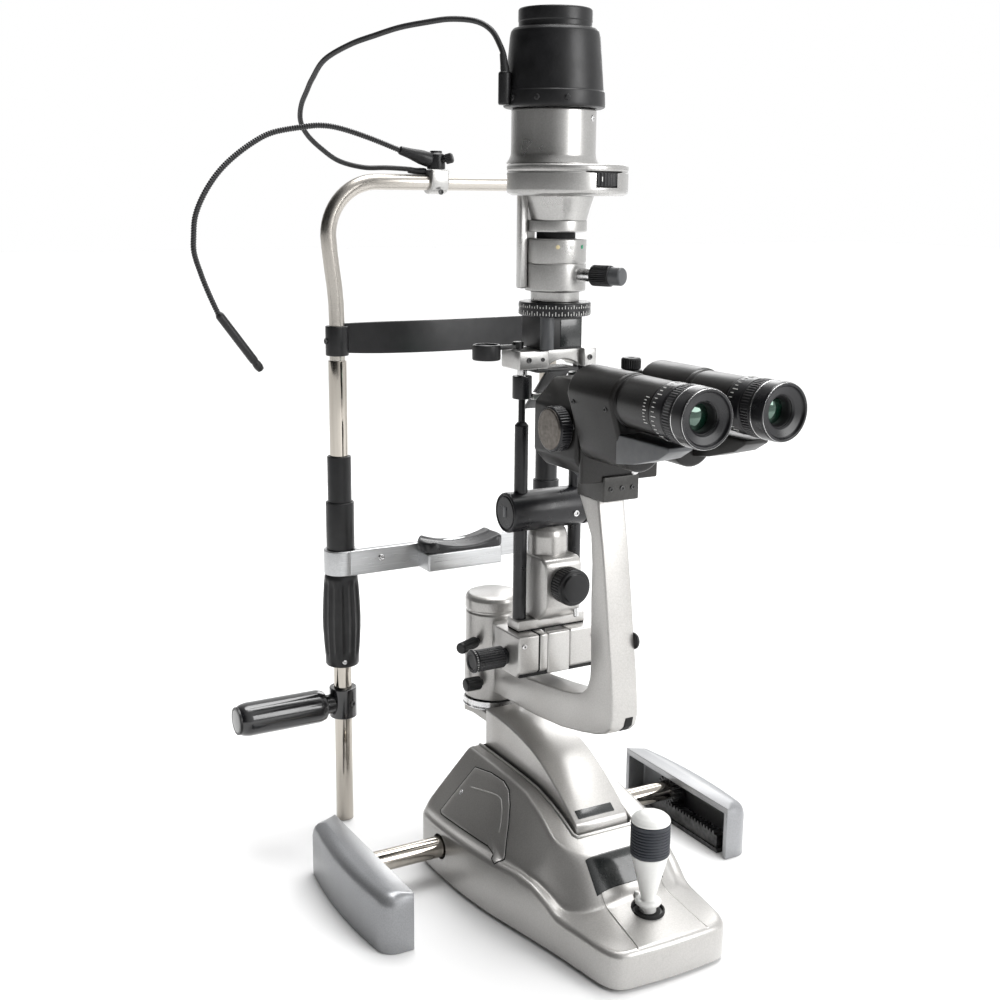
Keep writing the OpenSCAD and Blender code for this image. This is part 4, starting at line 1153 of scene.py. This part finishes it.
def eyepiece(side, tag):
    """Prism house, tube, dioptre ring with ticks, cup and lens of one side."""
    body, ring_body = f"{tag}_eyepiece", f"{tag}_dioptre"
    eye_o = (side * EYE_X, -188, EYE_Z)
    eye_d = Vector((EYE_DIR.x * -side, EYE_DIR.y, 0))
    low = arc(side * 22, SCOPE_Z, 17.5, 190, 350, 14)
    high = arc(side * 30, EYE_Z, 20, 0, 180, 16)
    outline = low + high
    house = slab(f"{tag}_prism_cover", outline, -190, -133.4, "Y", 3.2, 5)
    finish_piece(house, "crackle", body, f"{tag}_barrel")
    tube_obj = lathe(f"{tag}_eye_tube", [(12.5, 0), (19, 0), (19, 3), (18.2, 3.6), (18.2, 6), (19, 6.6),
                                         (19, 38.5),
                                         (19, 44.8), (18.4, 45.6), (12.5, 45.6)],
                     eye_o, eye_d, 0.5, 80)
    finish_piece(tube_obj, "crackle", body)
    ring = lathe(f"{tag}_dioptre_grip", [(16.2, 46.2), (19.0, 46.2), (19.6, 47), (19.6, 59.6), (18.6, 60.2),
                                         (18.6, 61.6),
                                         (20.0, 62.2), (20.2, 63), (20.2, 69.5), (19.4, 70.6), (16.2, 70.6)],
                 eye_o, eye_d, 0.4, 96, (60, 0.45, 62.6, 69.8, "knurl"))
    finish_piece(ring, "anodised", ring_body, f"{tag}_dioptre_ring")
    cup = lathe(f"{tag}_eyecup", [(10.6, 70), (19.2, 71), (20.0, 72), (20.2, 73), (20.2, 83), (19.6, 84.8),
                                  (18.0, 84.8),
                                  (17.4, 83.2), (16.8, 82.6), (11.8, 81.2), (10.6, 80)], eye_o, eye_d, 0.35,
                                  80)
    finish_piece(cup, "anodised", ring_body)
    # Thin bright steel lines at the cup's two edges: painted edge highlights, made as metal rings.
    for k, (r, z) in enumerate(((20.25, 72.6), (19.7, 84.3))):
        highlight_ring = tube_ring(f"{tag}_cup_line_{k}", r - 0.6, r + 0.05, z - 0.35, z + 0.35, eye_o, eye_d,
                              0.15, 96)
        finish_piece(highlight_ring, "steel", ring_body)
    cell = lathe(f"{tag}_lens_cell", [(9.2, 68), (11.6, 68), (11.6, 78.6), (10.4, 79), (9.2, 77)],
                 eye_o, eye_d, 0.3, 64)
    finish_piece(cell, "black", ring_body)
    lens = lathe(f"{tag}_eye_lens", [(0, 68), (9.4, 68), (9.4, 71.6), (6, 72.8), (3, 73.3), (0, 73.5)],
                 eye_o, eye_d,
                 0.3, 64)
    finish_piece(lens, "lens", ring_body)
    ticks(f"{tag}_dioptre_marks", 40, 19.6, 49.5, 5.0, 0.5, eye_o, eye_d, ring_body, start=5)
    panel = slab(f"{tag}_lower_panel", [(-186, 409), (-186, 388), (-206, 391), (-234, 399), (-246, 406),
                                        (-246, 409)],
                 min(side * 22, side * 42), max(side * 22, side * 42), "X", 1.0)
    # The left panel is grey: a painted highlight on the black cover. The right one is black like the cover.
    finish_piece(panel, "grey" if side < 0 else "crackle", body)
    ticks(f"{tag}_tube_marks", 9, 19.0, 38.5, 4.0, 0.5, eye_o, eye_d, body, span=60,
          start=150 if side < 0 else -30, every=4)
    for i, (y, z) in enumerate(((-141, 418), (-182, 418), (-182, 392))):
        x = side * (50.2 if z > 410 else 40.5)
        nx = side if z > 410 else side
        if z > 410:
            socket_screw(f"{tag}_house_screw_{i}", 1.8, 0.9, (x - side * 1.6, y, z + 8), (nx, 0, 0.1), body,
                         "dark_steel")


def eyepieces():
    for side, tag in ((-1, "left"), (1, "right")):
        eyepiece(side, tag)
    screw = lathe("hinge_screw", [(0, 446.4), (6.2, 446.4), (7.2, 447.2), (7.2, 453.6), (6.2, 454.9),
                                  (2.6, 454.9),
                                  (2.2, 454.2), (0, 454.2)], (0, -141.5, 0), soft=0.4,
                  ripple=(26, 0.5, 447.4, 453.4, "knurl"))
    finish_piece(screw, "black", "binocular_clamp", "binocular_screw")
    lever = lathe("lever_pin", [(0, 0), (2.0, 0), (2.0, 12), (2.8, 13), (2.8, 18), (0, 19)], (-8, -150, 385),
                  (-0.1, -0.75, -0.45), 0.4, 24)
    finish_piece(lever, "steel", "microscope")


# ---------------------------------------------------------------- lamp arm and foot

def lamp_arm():
    hub = lathe("lamp_hub", [(10.2, 174), (23.4, 174), (24, 174.8), (24, 210.8), (23.2, 212), (23.2, 213.8),
                             (24.5, 214.4), (24.5, 222.6), (23.4, 225.6), (21.6, 227), (19, 227.3),
                             (0, 227.3)],
                (0, SWIVEL_Y, 0), soft=0.7, seg=96)
    finish_piece(hub, "silver", "lamp_arm", "illumination_arm")
    neck = slab("lamp_neck", [(-8, 184), (36, 184), (36, 208), (-8, 208)], -14, 14, "X", 2.4, 4)
    finish_piece(neck, "silver", "lamp_arm")
    tongue = slab("tilt_tongue", [(-6, 190), (-6, 208)] + arc(LAMP_Y, TILT_Z, 11.8, 60, 300, 18), -9.7, 9.7,
                  "X", 0.6)
    finish_piece(tongue, "silver_dark", "lamp_arm")
    turn = math.radians(207.3)
    out = (math.cos(turn), math.sin(turn), 0)
    knob = lathe("lamp_lock", [(0, 22), (3, 22), (3, 27), (4.6, 28), (5, 29), (5, 49), (4.2, 50.4),
                               (0, 50.4)],
                 (0, SWIVEL_Y, 188), out, 0.4, 32, (16, 0.45, 29.4, 48.6, "knurl"))
    finish_piece(knob, "black", "lamp_lock", "lamp_lock_knob")


def lamp_foot():
    side = [(-12, 222), (-52, 222), (-52, 192), (-47, 187), (-16, 187), (-12, 191)]
    for tag, x0, x1 in (("left", -38, -18.6), ("middle", -18, -10.2), ("right", 10.2, 38)):
        part = slab(f"foot_block_{tag}", side, x0, x1, "X", 1.6, 4)
        finish_piece(part, "silver", "lamp_unit", "cross_block" if tag == "left" else ())
    joint = slab("foot_joint", [(y * 0.985 - 0.5, z) for y, z in side], -18.8, -17.8, "X", 0)
    finish_piece(joint, "gap", "lamp_unit")
    bridge = box("foot_bridge", (-10.4, -52, 187.6), (10.4, -46.2, 222), 1.2)
    finish_piece(bridge, "silver", "lamp_unit")
    # Dark strip on the underside of the foot's front: painted shade.
    shade = box("foot_underside", (-36, -50, 186.9), (36, -46.6, 190), 0.3)
    finish_piece(shade, "gap", "lamp_unit")
    for side_x, tag in ((-1, "left"), (1, "right")):
        knob = lathe(f"{tag}_slit_knob", [(0, 38.4), (7, 38.4), (7, 41), (8.4, 41.4), (9, 42.4), (9, 65.8),
                                          (8.2, 66.6), (8.2, 67.4), (9.6, 67.8), (9.6, 69.4), (8.8, 70),
                                          (6.4, 70),
                                          (5.8, 69.2), (0, 69.2)], (0, LAMP_Y, TILT_Z), (side_x, 0, 0), 0.35,
                     ripple=(28, 0.7, 42.6, 65.6, "knurl"))
        finish_piece(knob, "anodised", "slit_width", "slit_knobs")
        ticks(f"{tag}_slit_marks", 30, 9.6, 68.0, 1.3, 0.3, (0, LAMP_Y, TILT_Z), (side_x, 0, 0), "slit_width")
        socket_screw(f"{tag}_foot_screw", 2.2, 1.2, (side_x * 33, -51.9, 214), (0, -1, 0), "lamp_unit")


def columns():
    bar = box("foot_bar", (-32, -40, 223), (32, -22, 231.4), 1.2)
    finish_piece(bar, "silver", "lamp_unit", "lamp_columns")
    seam = box("foot_bar_seam", (-31.4, -39.4, 221.8), (31.4, -22.6, 223.4), 0.1)
    finish_piece(seam, "gap", "lamp_unit")
    for side, tag in ((-1, "left"), (1, "right")):
        column = lathe(f"{tag}_column", [(0, 230), (5.5, 230), (5.5, 390.6), (3.6, 393), (2.75, 393.2),
                                         (2.75, 413), (0, 413)], (side * 25.7, LAMP_Y, 0), soft=0.5, seg=48)
        finish_piece(column, "anodised", "lamp_unit")
    barrel = lathe("cross_barrel", [(0, -40), (12.8, -40), (13.2, -38.8), (14.2, -38.8), (14.6, -40),
                                    (15.4, -40),
                                    (16.25, -38.6), (16.25, 28.2), (15.2, 28.8), (15.2, 30), (16.25, 30.6),
                                    (16.25, 34.6), (15.2, 36), (0, 36)], (0, LAMP_Y, 321), (1, 0, 0), 0.4, 96)
    finish_piece(barrel, "anodised", "lamp_unit", "cross_cylinder")
    slot = box("barrel_slot", (-40.6, LAMP_Y - 1.8, 317.5), (-39.6, LAMP_Y + 2.4, 326), 0.2)
    finish_piece(slot, "grey", "lamp_unit")
    socket_screw("barrel_screw", 2.6, 1.2, (17, LAMP_Y - 15.9, 318), (0, -1, -0.15), "lamp_unit")


def tower():
    post = lathe("tower_post", [(0, 231.6), (16, 231.6), (16, 300), (14.6, 304.5), (11, 307.6), (0, 307.8)],
                 (0, LAMP_Y, 0), soft=1.2, seg=96)
    saddle = cylinder("saddle", 16.3, -30, 30, (0, LAMP_Y, 321), (1, 0, 0), seg=64)
    finish_piece(sharp_by_angle(cut(post, saddle)), "silver", "lamp_unit", "tower")
    ledge = [(-22, 231.8), (-22, 284.8), (-51, 284.8), (-55.4, 282.4), (-57, 278), (-57, 244), (-53, 238),
             (-46, 231.8)]
    block = slab("tower_block", ledge, -17.4, 17.4, "X", 2.4, 4)
    finish_piece(block, "silver", "lamp_unit")
    knob = lathe("focus_knob", [(0, 57.4), (7.6, 57.4), (7.6, 60), (14.2, 60.2), (15, 61.2), (15, 72.4),
                                (14, 73.8),
                                (12, 74), (11.5, 75), (11.3, 76), (0, 76)], (0, 0, 264), (0, -1, 0), 0.4,
                 ripple=(40, 0.5, 61.4, 72.2, "knurl"))
    finish_piece(knob, "black", "centring", "centring_knob")
    cap = lathe("focus_knob_cap", [(0, 75.4), (10.4, 75.4), (10.4, 75.8), (0, 75.95)], (0, 0, 264),
                (0, -1, 0), 0.1)
    finish_piece(cap, "knob_face", "centring")
    pin = lathe("ledge_pin", [(0, 0), (2.2, 0), (2.2, 7), (1.6, 8), (0, 8)], (14.4, -54, 241), (0, 0, -1),
                0.3, 24)
    finish_piece(pin, "steel", "lamp_unit")


# ---------------------------------------------------------------- lamp head

def yoke():
    for tag, lo, hi in (("left", (-37, -45, 436.1), (-9.6, -17, 450.9)), ("right", (22, -45, 436.1),
                                                                     (34.5, -17, 450.9))):
        part = box(f"yoke_{tag}", lo, hi, 1.4)
        finish_piece(part, "cast", "lamp_unit", "yoke" if tag == "left" else ())
    saddle = slab("yoke_saddle", [(-11, 450.8), (-11, 437)] + [(x,
                                                                437 + 5.5 * math.sin(math.pi * (x + 10) / 33))
                                                               for x in range(-9, 23, 2)]
                  + [(23, 437), (23, 450.8)], -40, -17.5, "Y", 0.8)
    finish_piece(saddle, "cast", "lamp_unit")
    for side, tag in ((-1, "left"), (1, "right")):
        collar = tube_ring(f"{tag}_rod_collar", 2.8, 7.7, 412, 430, (side * 25.7, LAMP_Y, 0), soft=0.8)
        finish_piece(collar, "anodised", "lamp_unit")
        neck = cylinder(f"{tag}_rod_neck", 4, 429, 437, (side * 25.7, LAMP_Y, 0), soft=0.3)
        finish_piece(neck, "steel", "lamp_unit")
        socket_screw(f"{tag}_yoke_screw", 2.2, 1.0, (side * 28, -44.8, 443.5), (0, -1, 0), "lamp_unit",
                     "dark_steel")
    socket_screw("yoke_screw_middle", 1.6, 1.0, (-15.5, -44.8, 443.5), (0, -1, 0), "lamp_unit", "dark_steel")
    bracket = box("rod_bracket", (-18.4, -36, 411), (-8, -28, 416), 0.6)
    finish_piece(bracket, "cast", "lamp_unit")
    knob = lathe("small_knob", [(0, 0), (6, 0), (6, 3.4), (3.6, 4), (3.6, 6), (0, 6)], (28, LAMP_Y - 7, 433),
                 (0, -1, 0),
                 0.4, 32, (16, 0.35, 0.4, 3.0, "knurl"))
    finish_piece(knob, "black", "lamp_unit")
    holder = box("mirror_holder", (-19, -43, 433), (19, -19, 435.9), 0.5)
    finish_piece(holder, "anodised", "lamp_unit", "mirror")
    slab_pts = [(-43, 433.2), (-40, 433.2), (-8.4, 401.6), (-10.4, 399.8)]
    back = slab("mirror_back", slab_pts, -10.4, 10.4, "X", 0.4)
    finish_piece(back, "anodised", "lamp_unit")
    face = slab("mirror_face", [(-39.8, 432.6), (-39.2, 433.0), (-8.6, 402.2), (-9.0, 401.8)], -9.4, 9.4,
                "X", 0)
    finish_piece(face, "mirror", "lamp_unit")


def slit_head():
    body = box("prism_cover", (-17, -50, 451.2), (17, -14, 477), 1.2)
    finish_piece(body, "black", "lamp_unit", "prism_box")
    tube_in = cylinder("head_tube", 15, 476, 568, (0, HEAD_Y, 0))
    finish_piece(tube_in, "gap", "lamp_unit")
    plate = box("blank_box_plate", (-3, -50.5, 453.4), (15, -49.6, 474.6), 0.2)
    finish_piece(plate, "plate", "lamp_unit")
    side_rod = cylinder("box_pillar", 5.4, 451.4, 477, (-13.6, -47.4, 0), soft=0.5)
    finish_piece(side_rod, "grey", "lamp_unit")
    ring = lathe("dial", [(15, 477.3), (27.2, 477.3), (28, 478), (28, 487), (27.2, 487.7), (15, 487.7)],
                 (0, HEAD_Y, 0), soft=0.4, seg=120)
    finish_piece(ring, "anodised", "lamp_unit", "dial_ring")
    ticks("dial_marks_low", 72, 28.0, 478.2, 3.2, 0.5, (0, HEAD_Y, 0), (0, 0, 1), "lamp_unit", every=2)
    ticks("dial_marks_high", 72, 28.0, 483.6, 2.6, 0.5, (0, HEAD_Y, 0), (0, 0, 1), "lamp_unit", every=3)
    knob = lathe("index_knob", [(0, 26), (3, 26), (4.6, 28), (4.6, 36), (3.8, 37), (0, 37)], (0, HEAD_Y, 483),
                 (0.85, 0.5, 0), 0.4, 32, (16, 0.35, 28.4, 35.6, "knurl"))
    finish_piece(knob, "black", "lamp_unit")
    lower = lathe("slit_drum", [(15.1, 488.1), (19, 488.1), (19, 495.4), (23.2, 496.2), (23.75, 497),
                                (23.75, 516.6),
                                (23.2, 517), (23.2, 517.6), (23.75, 518), (23.75, 535), (23, 536),
                                (15.1, 536)],
                  (0, HEAD_Y, 0), soft=0.4, seg=96)
    finish_piece(lower, "cast", "slit_head", "slit_cylinder")
    for k, mat in enumerate(("mark_cream", "mark", "mark_green")):
        a = math.radians(-118 + 27 * k)
        spot = lathe(f"slit_dot_{k}", [(0, -0.5), (1.6, -0.5), (1.6, 0.3), (0, 0.5)],
                     (23.7 * math.cos(a), HEAD_Y + 23.7 * math.sin(a), 530), (math.cos(a), math.sin(a), 0),
                     0.2, 24)
        finish_piece(spot, mat, "slit_head")
    turn = math.radians(-66.5)
    lever_dir = (math.cos(turn), math.sin(turn), 0)
    lever_o = (0, HEAD_Y, 509)
    stub = lathe("lever_stub", [(0, 20), (5, 20), (5, 35.4), (0, 35.4)], lever_o, lever_dir, 0.3, 40)
    finish_piece(stub, "steel", "slit_head", "slit_lever")
    grip = lathe("lever_grip", [(0, 35), (7.2, 35), (8, 36), (8, 51), (7.2, 52), (0, 52)], lever_o,
                 lever_dir, 0.4,
                 ripple=(30, 0.6, 36.2, 50.8, "knurl"))
    finish_piece(grip, "black", "slit_head")
    end = lathe("lever_end", [(0, 51.6), (6.9, 51.6), (6.9, 60.6), (5.8, 61.9), (0, 62)], lever_o, lever_dir,
                0.5, 48)
    finish_piece(end, "grey", "slit_head")


def filter_housing():
    low = lathe("slit_collar", [(15, 541), (23.2, 541), (23.75, 541.8), (23.75, 549.6), (15, 549.6)],
                (0, HEAD_Y, 0), soft=0.4, seg=96)
    finish_piece(low, "cast", "lamp_unit", "filter_disc")
    cone = lathe("head_cone", [(15, 549.7), (21.4, 549.7), (21.8, 552), (23.4, 558), (25.6, 565),
                               (26.5, 568.2),
                               (15, 568.2)], (0, HEAD_Y - 4, 0), soft=0.8, seg=96)
    finish_piece(cone, "cast", "lamp_unit")
    disc = lathe("filter_case", [(0, 568), (42, 568), (45.4, 569.8), (46, 572), (46, 584.6), (45.4, 585.2),
                                 (45.4, 586.2), (46, 586.8), (46, 589.4), (44.8, 591), (0, 591)],
                 (0, FILTER_Y, 0), soft=0.8, seg=128)
    room = cylinder("room", 37.5, 574, 586, (WHEEL_X, WHEEL_Y, 0), seg=96)
    finish_piece(sharp_by_angle(cut(disc, room), 34), "cast", "lamp_unit")
    wheel = lathe("filter_thumbwheel", [(3.1, 574.4), (36.1, 574.4), (37, 575.4), (37, 584.6), (36.1, 585.6),
                                        (3.1, 585.6)], (WHEEL_X, WHEEL_Y, 0), soft=0.5,
                  ripple=(72, 0.6, 575.6, 584.4, "knurl"))
    finish_piece(wheel, "black", "filters", "filter_wheel")
    ticks("filter_marks", 12, 36.95, 578.5, 3.4, 0.7, (WHEEL_X, WHEEL_Y, 0), (0, 0, 1), "filters", every=1)


def head_frame():
    """Curved frame that joins the slit head to the filter housing, behind the turning cylinder."""
    n = 20
    verts, faces = [], []
    for k in range(n + 1):
        a = math.radians(100 + 76 * k / n)
        for r, z in ((24.2, 498), (30.4, 498), (30.4, 568.4), (24.2, 568.4)):
            verts.append((r * math.cos(a), HEAD_Y + r * math.sin(a), z))
    for k in range(n):
        for i in range(4):
            j = (i + 1) % 4
            faces.append((4 * k + i, 4 * k + j, 4 * k + 4 + j, 4 * k + 4 + i))
    faces += [(3, 2, 1, 0), (4 * n, 4 * n + 1, 4 * n + 2, 4 * n + 3)]
    obj = mesh_object("slit_head_frame", verts, faces)
    bm = bmesh.new()
    bm.from_mesh(obj.data)
    bmesh.ops.recalc_face_normals(bm, faces=bm.faces)
    bm.to_mesh(obj.data)
    bm.free()
    finish_piece(bevel(obj, 1.0, 3, 40), "cast", "lamp_unit")


def lamp_house():
    body = lathe("lamp_tube", [(22, 591.2), (35.4, 591.2), (36, 592), (34.4, 594.4), (32.8, 597.6),
                               (32.5, 600),
                               (32.5, 631), (31.6, 632), (22, 632)], (0, HOUSE_Y, 0), soft=0.9, seg=112)
    finish_piece(body, "cast", "lamp_unit", "lamp_housing")
    a = math.radians(-58)
    screw_at = (32.3 * math.cos(a), HOUSE_Y + 32.3 * math.sin(a), 625)
    slot_screw("house_screw", 2.4, 1.0, screw_at, (math.cos(a), math.sin(a), 0), "lamp_unit")
    cap = lathe("cap_shell", [(10, 632.4), (36.8, 632.4), (38.6, 633.4), (38.8, 636), (38.4, 644.4),
                              (37.8, 645),
                              (37.4, 645.6), (36.9, 652), (35.6, 668), (34.2, 684), (33.4, 688),
                              (31.6, 690.2),
                              (28.4, 690.6), (27.7, 691.2), (27.7, 694.8), (28, 695.4), (28, 703.4),
                              (27.2, 704.6),
                              (25.6, 704.65), (25, 703.8), (0, 703.8)], (0, HOUSE_Y, 0), soft=0.5, seg=120)
    finish_piece(cap, "black", "lamp_unit", "lamp_cap")
    for k in range(3):
        a = math.radians(-175 + 34 * k)
        lug = lathe(f"cap_lug_{k}", [(0, -1.2), (2.2, -1.2), (2.2, 1.0), (1.6, 1.5), (0, 1.5)],
                    (38.2 * math.cos(a), HOUSE_Y + 38.2 * math.sin(a), 639), (math.cos(a), math.sin(a), 0),
                    0.3, 24)
        finish_piece(lug, "black", "lamp_unit")
    outlet = lathe("cable_outlet", [(0, 634), (4.4, 634), (5, 635.2), (5, 656.6), (4.2, 658), (0, 658)],
                   (-41, -26, 0), soft=0.6, seg=48)
    finish_piece(outlet, "black", "lamp_unit")
    web = box("outlet_web", (-42, -29, 636), (-34, -23, 655), 0.8)
    finish_piece(web, "black", "lamp_unit")


def diffuser():
    bar = box("diffuser_bar", (-52, LAMP_Y - 2.8, 451.4), (-30, LAMP_Y + 2.8, 454.8), 0.7)
    pivot = lathe("pivot", [(0, 451.4), (4.5, 451.4), (4.5, 456.4), (3.6, 457), (0, 457)], (-30, LAMP_Y, 0),
                  soft=0.3)
    finish_piece(join("diffuser_arm", [bar, pivot]), "black", "diffuser_flap", "diffuser")
    cell = lathe("diffuser_cell", [(9, 444), (10.4, 444), (11, 444.8), (11, 455.2), (10.2, 456), (8.6, 456),
                                   (8.6, 454)],
                 (-58, LAMP_Y, 0), soft=0.4, seg=64)
    finish_piece(cell, "black", "diffuser_flap")
    pane = lathe("diffuser_pane", [(0, 445), (9.2, 445), (9.2, 454.6), (0, 454.8)], (-58, LAMP_Y, 0),
                 soft=0.3)
    finish_piece(pane, "grey", "diffuser_flap")


def cad_nodes():
    """Procedural materials and rounded edges for the CAD nodes that stay as they are."""
    looks = {"rack_plates": "dark_steel", "axle_guides": "dark_steel", "axle": "chrome",
             "toothed_wheels": "black", "base_plate": "dark_steel", "lift_guide": "dark_steel",
             "joystick_gimbal": "dark_steel", "swivel_post": "steel", "bulb": "bulb"}
    for node, mat in looks.items():
        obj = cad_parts[node]
        obj.data.materials.clear()
        obj.data.materials.append(M[mat])
        mod = obj.modifiers.new("edges", "BEVEL")
        mod.width = 0.25 * MM
        mod.segments = 2
        mod.limit_method = "ANGLE"
        mod.angle_limit = math.radians(40)


# ---------------------------------------------------------------- stage

def stage():
    """Flat pale floor, a bright world that darkens to one side, and soft studio lights."""
    n = Nodes("floor")
    n.link(n.ramp(n.noise(2, 2), (0.86, 0.86, 0.86), (0.88, 0.88, 0.88)), n.shader.inputs["Base Color"])
    n.set(Roughness=0.9)
    mesh = bpy.data.meshes.new("floor")
    size = 12
    mesh.from_pydata([(-size, -size, 0), (size, -size, 0), (size, size, 0), (-size, size, 0)], [],
                     [(0, 1, 2, 3)])
    floor = bpy.data.objects.new("floor", mesh)
    bpy.context.scene.collection.objects.link(floor)
    floor.data.materials.append(n.mat)
    floor.location.z = -0.0003
    world = bpy.data.worlds.new("studio")
    bpy.context.scene.world = world
    bpy.context.scene.view_settings.view_transform = "Standard"
    world.use_nodes = True
    tree = world.node_tree
    back = tree.nodes["Background"]
    back.inputs["Color"].default_value = (1, 1, 1, 1)
    where = tree.nodes.new("ShaderNodeTexCoord")
    split = tree.nodes.new("ShaderNodeSeparateXYZ")
    fade = tree.nodes.new("ShaderNodeMapRange")
    tree.links.new(where.outputs["Generated"], split.inputs["Vector"])
    tree.links.new(split.outputs["X"], fade.inputs["Value"])
    for key, value in (("From Min", -0.55), ("From Max", 0.15), ("To Min", 0.03), ("To Max", 1.0)):
        fade.inputs[key].default_value = value
    tree.links.new(fade.outputs["Result"], back.inputs["Strength"])
    sun = bpy.data.lights.new("ceiling", "SUN")
    sun.energy = 2.1
    sun.angle = math.radians(40)
    ceiling = bpy.data.objects.new("ceiling", sun)
    bpy.context.scene.collection.objects.link(ceiling)
    ceiling.rotation_euler = (math.radians(-8), math.radians(14), 0)
    lights = (("key", (1.0, -2.0, 1.1), 1.2, 31), ("top", (0.4, 0.0, 2.4), 1.4, 14),
              ("rim", (1.3, 1.6, 1.4), 1.0, 12))
    for name, place, size_m, power in lights:
        data = bpy.data.lights.new(name, "AREA")
        data.size = size_m
        data.energy = power
        lamp = bpy.data.objects.new(name, data)
        bpy.context.scene.collection.objects.link(lamp)
        lamp.location = place
        lamp.rotation_euler = (Vector((0, 0, 0.3)) - Vector(place)).to_track_quat("-Z", "Y").to_euler()


# ---------------------------------------------------------------- build

rail_cover("left_cover", -1, "left_rail_cover")
rail_cover("right_cover", 1, "right_rail_cover")
posts()
barrel_grip("chin_height_barrel", -POST_X, "chin_height_grip", "height_grip")
barrel_grip("right_barrel_grip", POST_X, "stand")
slot_screw("grip_screw", 2.2, 1.2, (-POST_X - 4, POST_Y - 14.4, 157), (-0.25, -1, 0), "chin_height_grip")
finish_piece(tube("bent_tube", bow_path(), 6.75, 32), "champagne", "stand", "headrest_bow")
forehead_band()
handle()
lamp_clamp()
chin_rest()
fixation_lamp()
cover = base_shell()
side_panel(cover, -1, "left")
side_panel(cover, 1, "right")
rim_bead()
front_plate()
joystick()
wedge_cover()
microscope_arm()
microscope_head()
magnification_knobs()
eyepieces()
lamp_arm()
lamp_foot()
columns()
tower()
yoke()
slit_head()
filter_housing()
head_frame()
lamp_house()
diffuser()
cad_nodes()
stage()
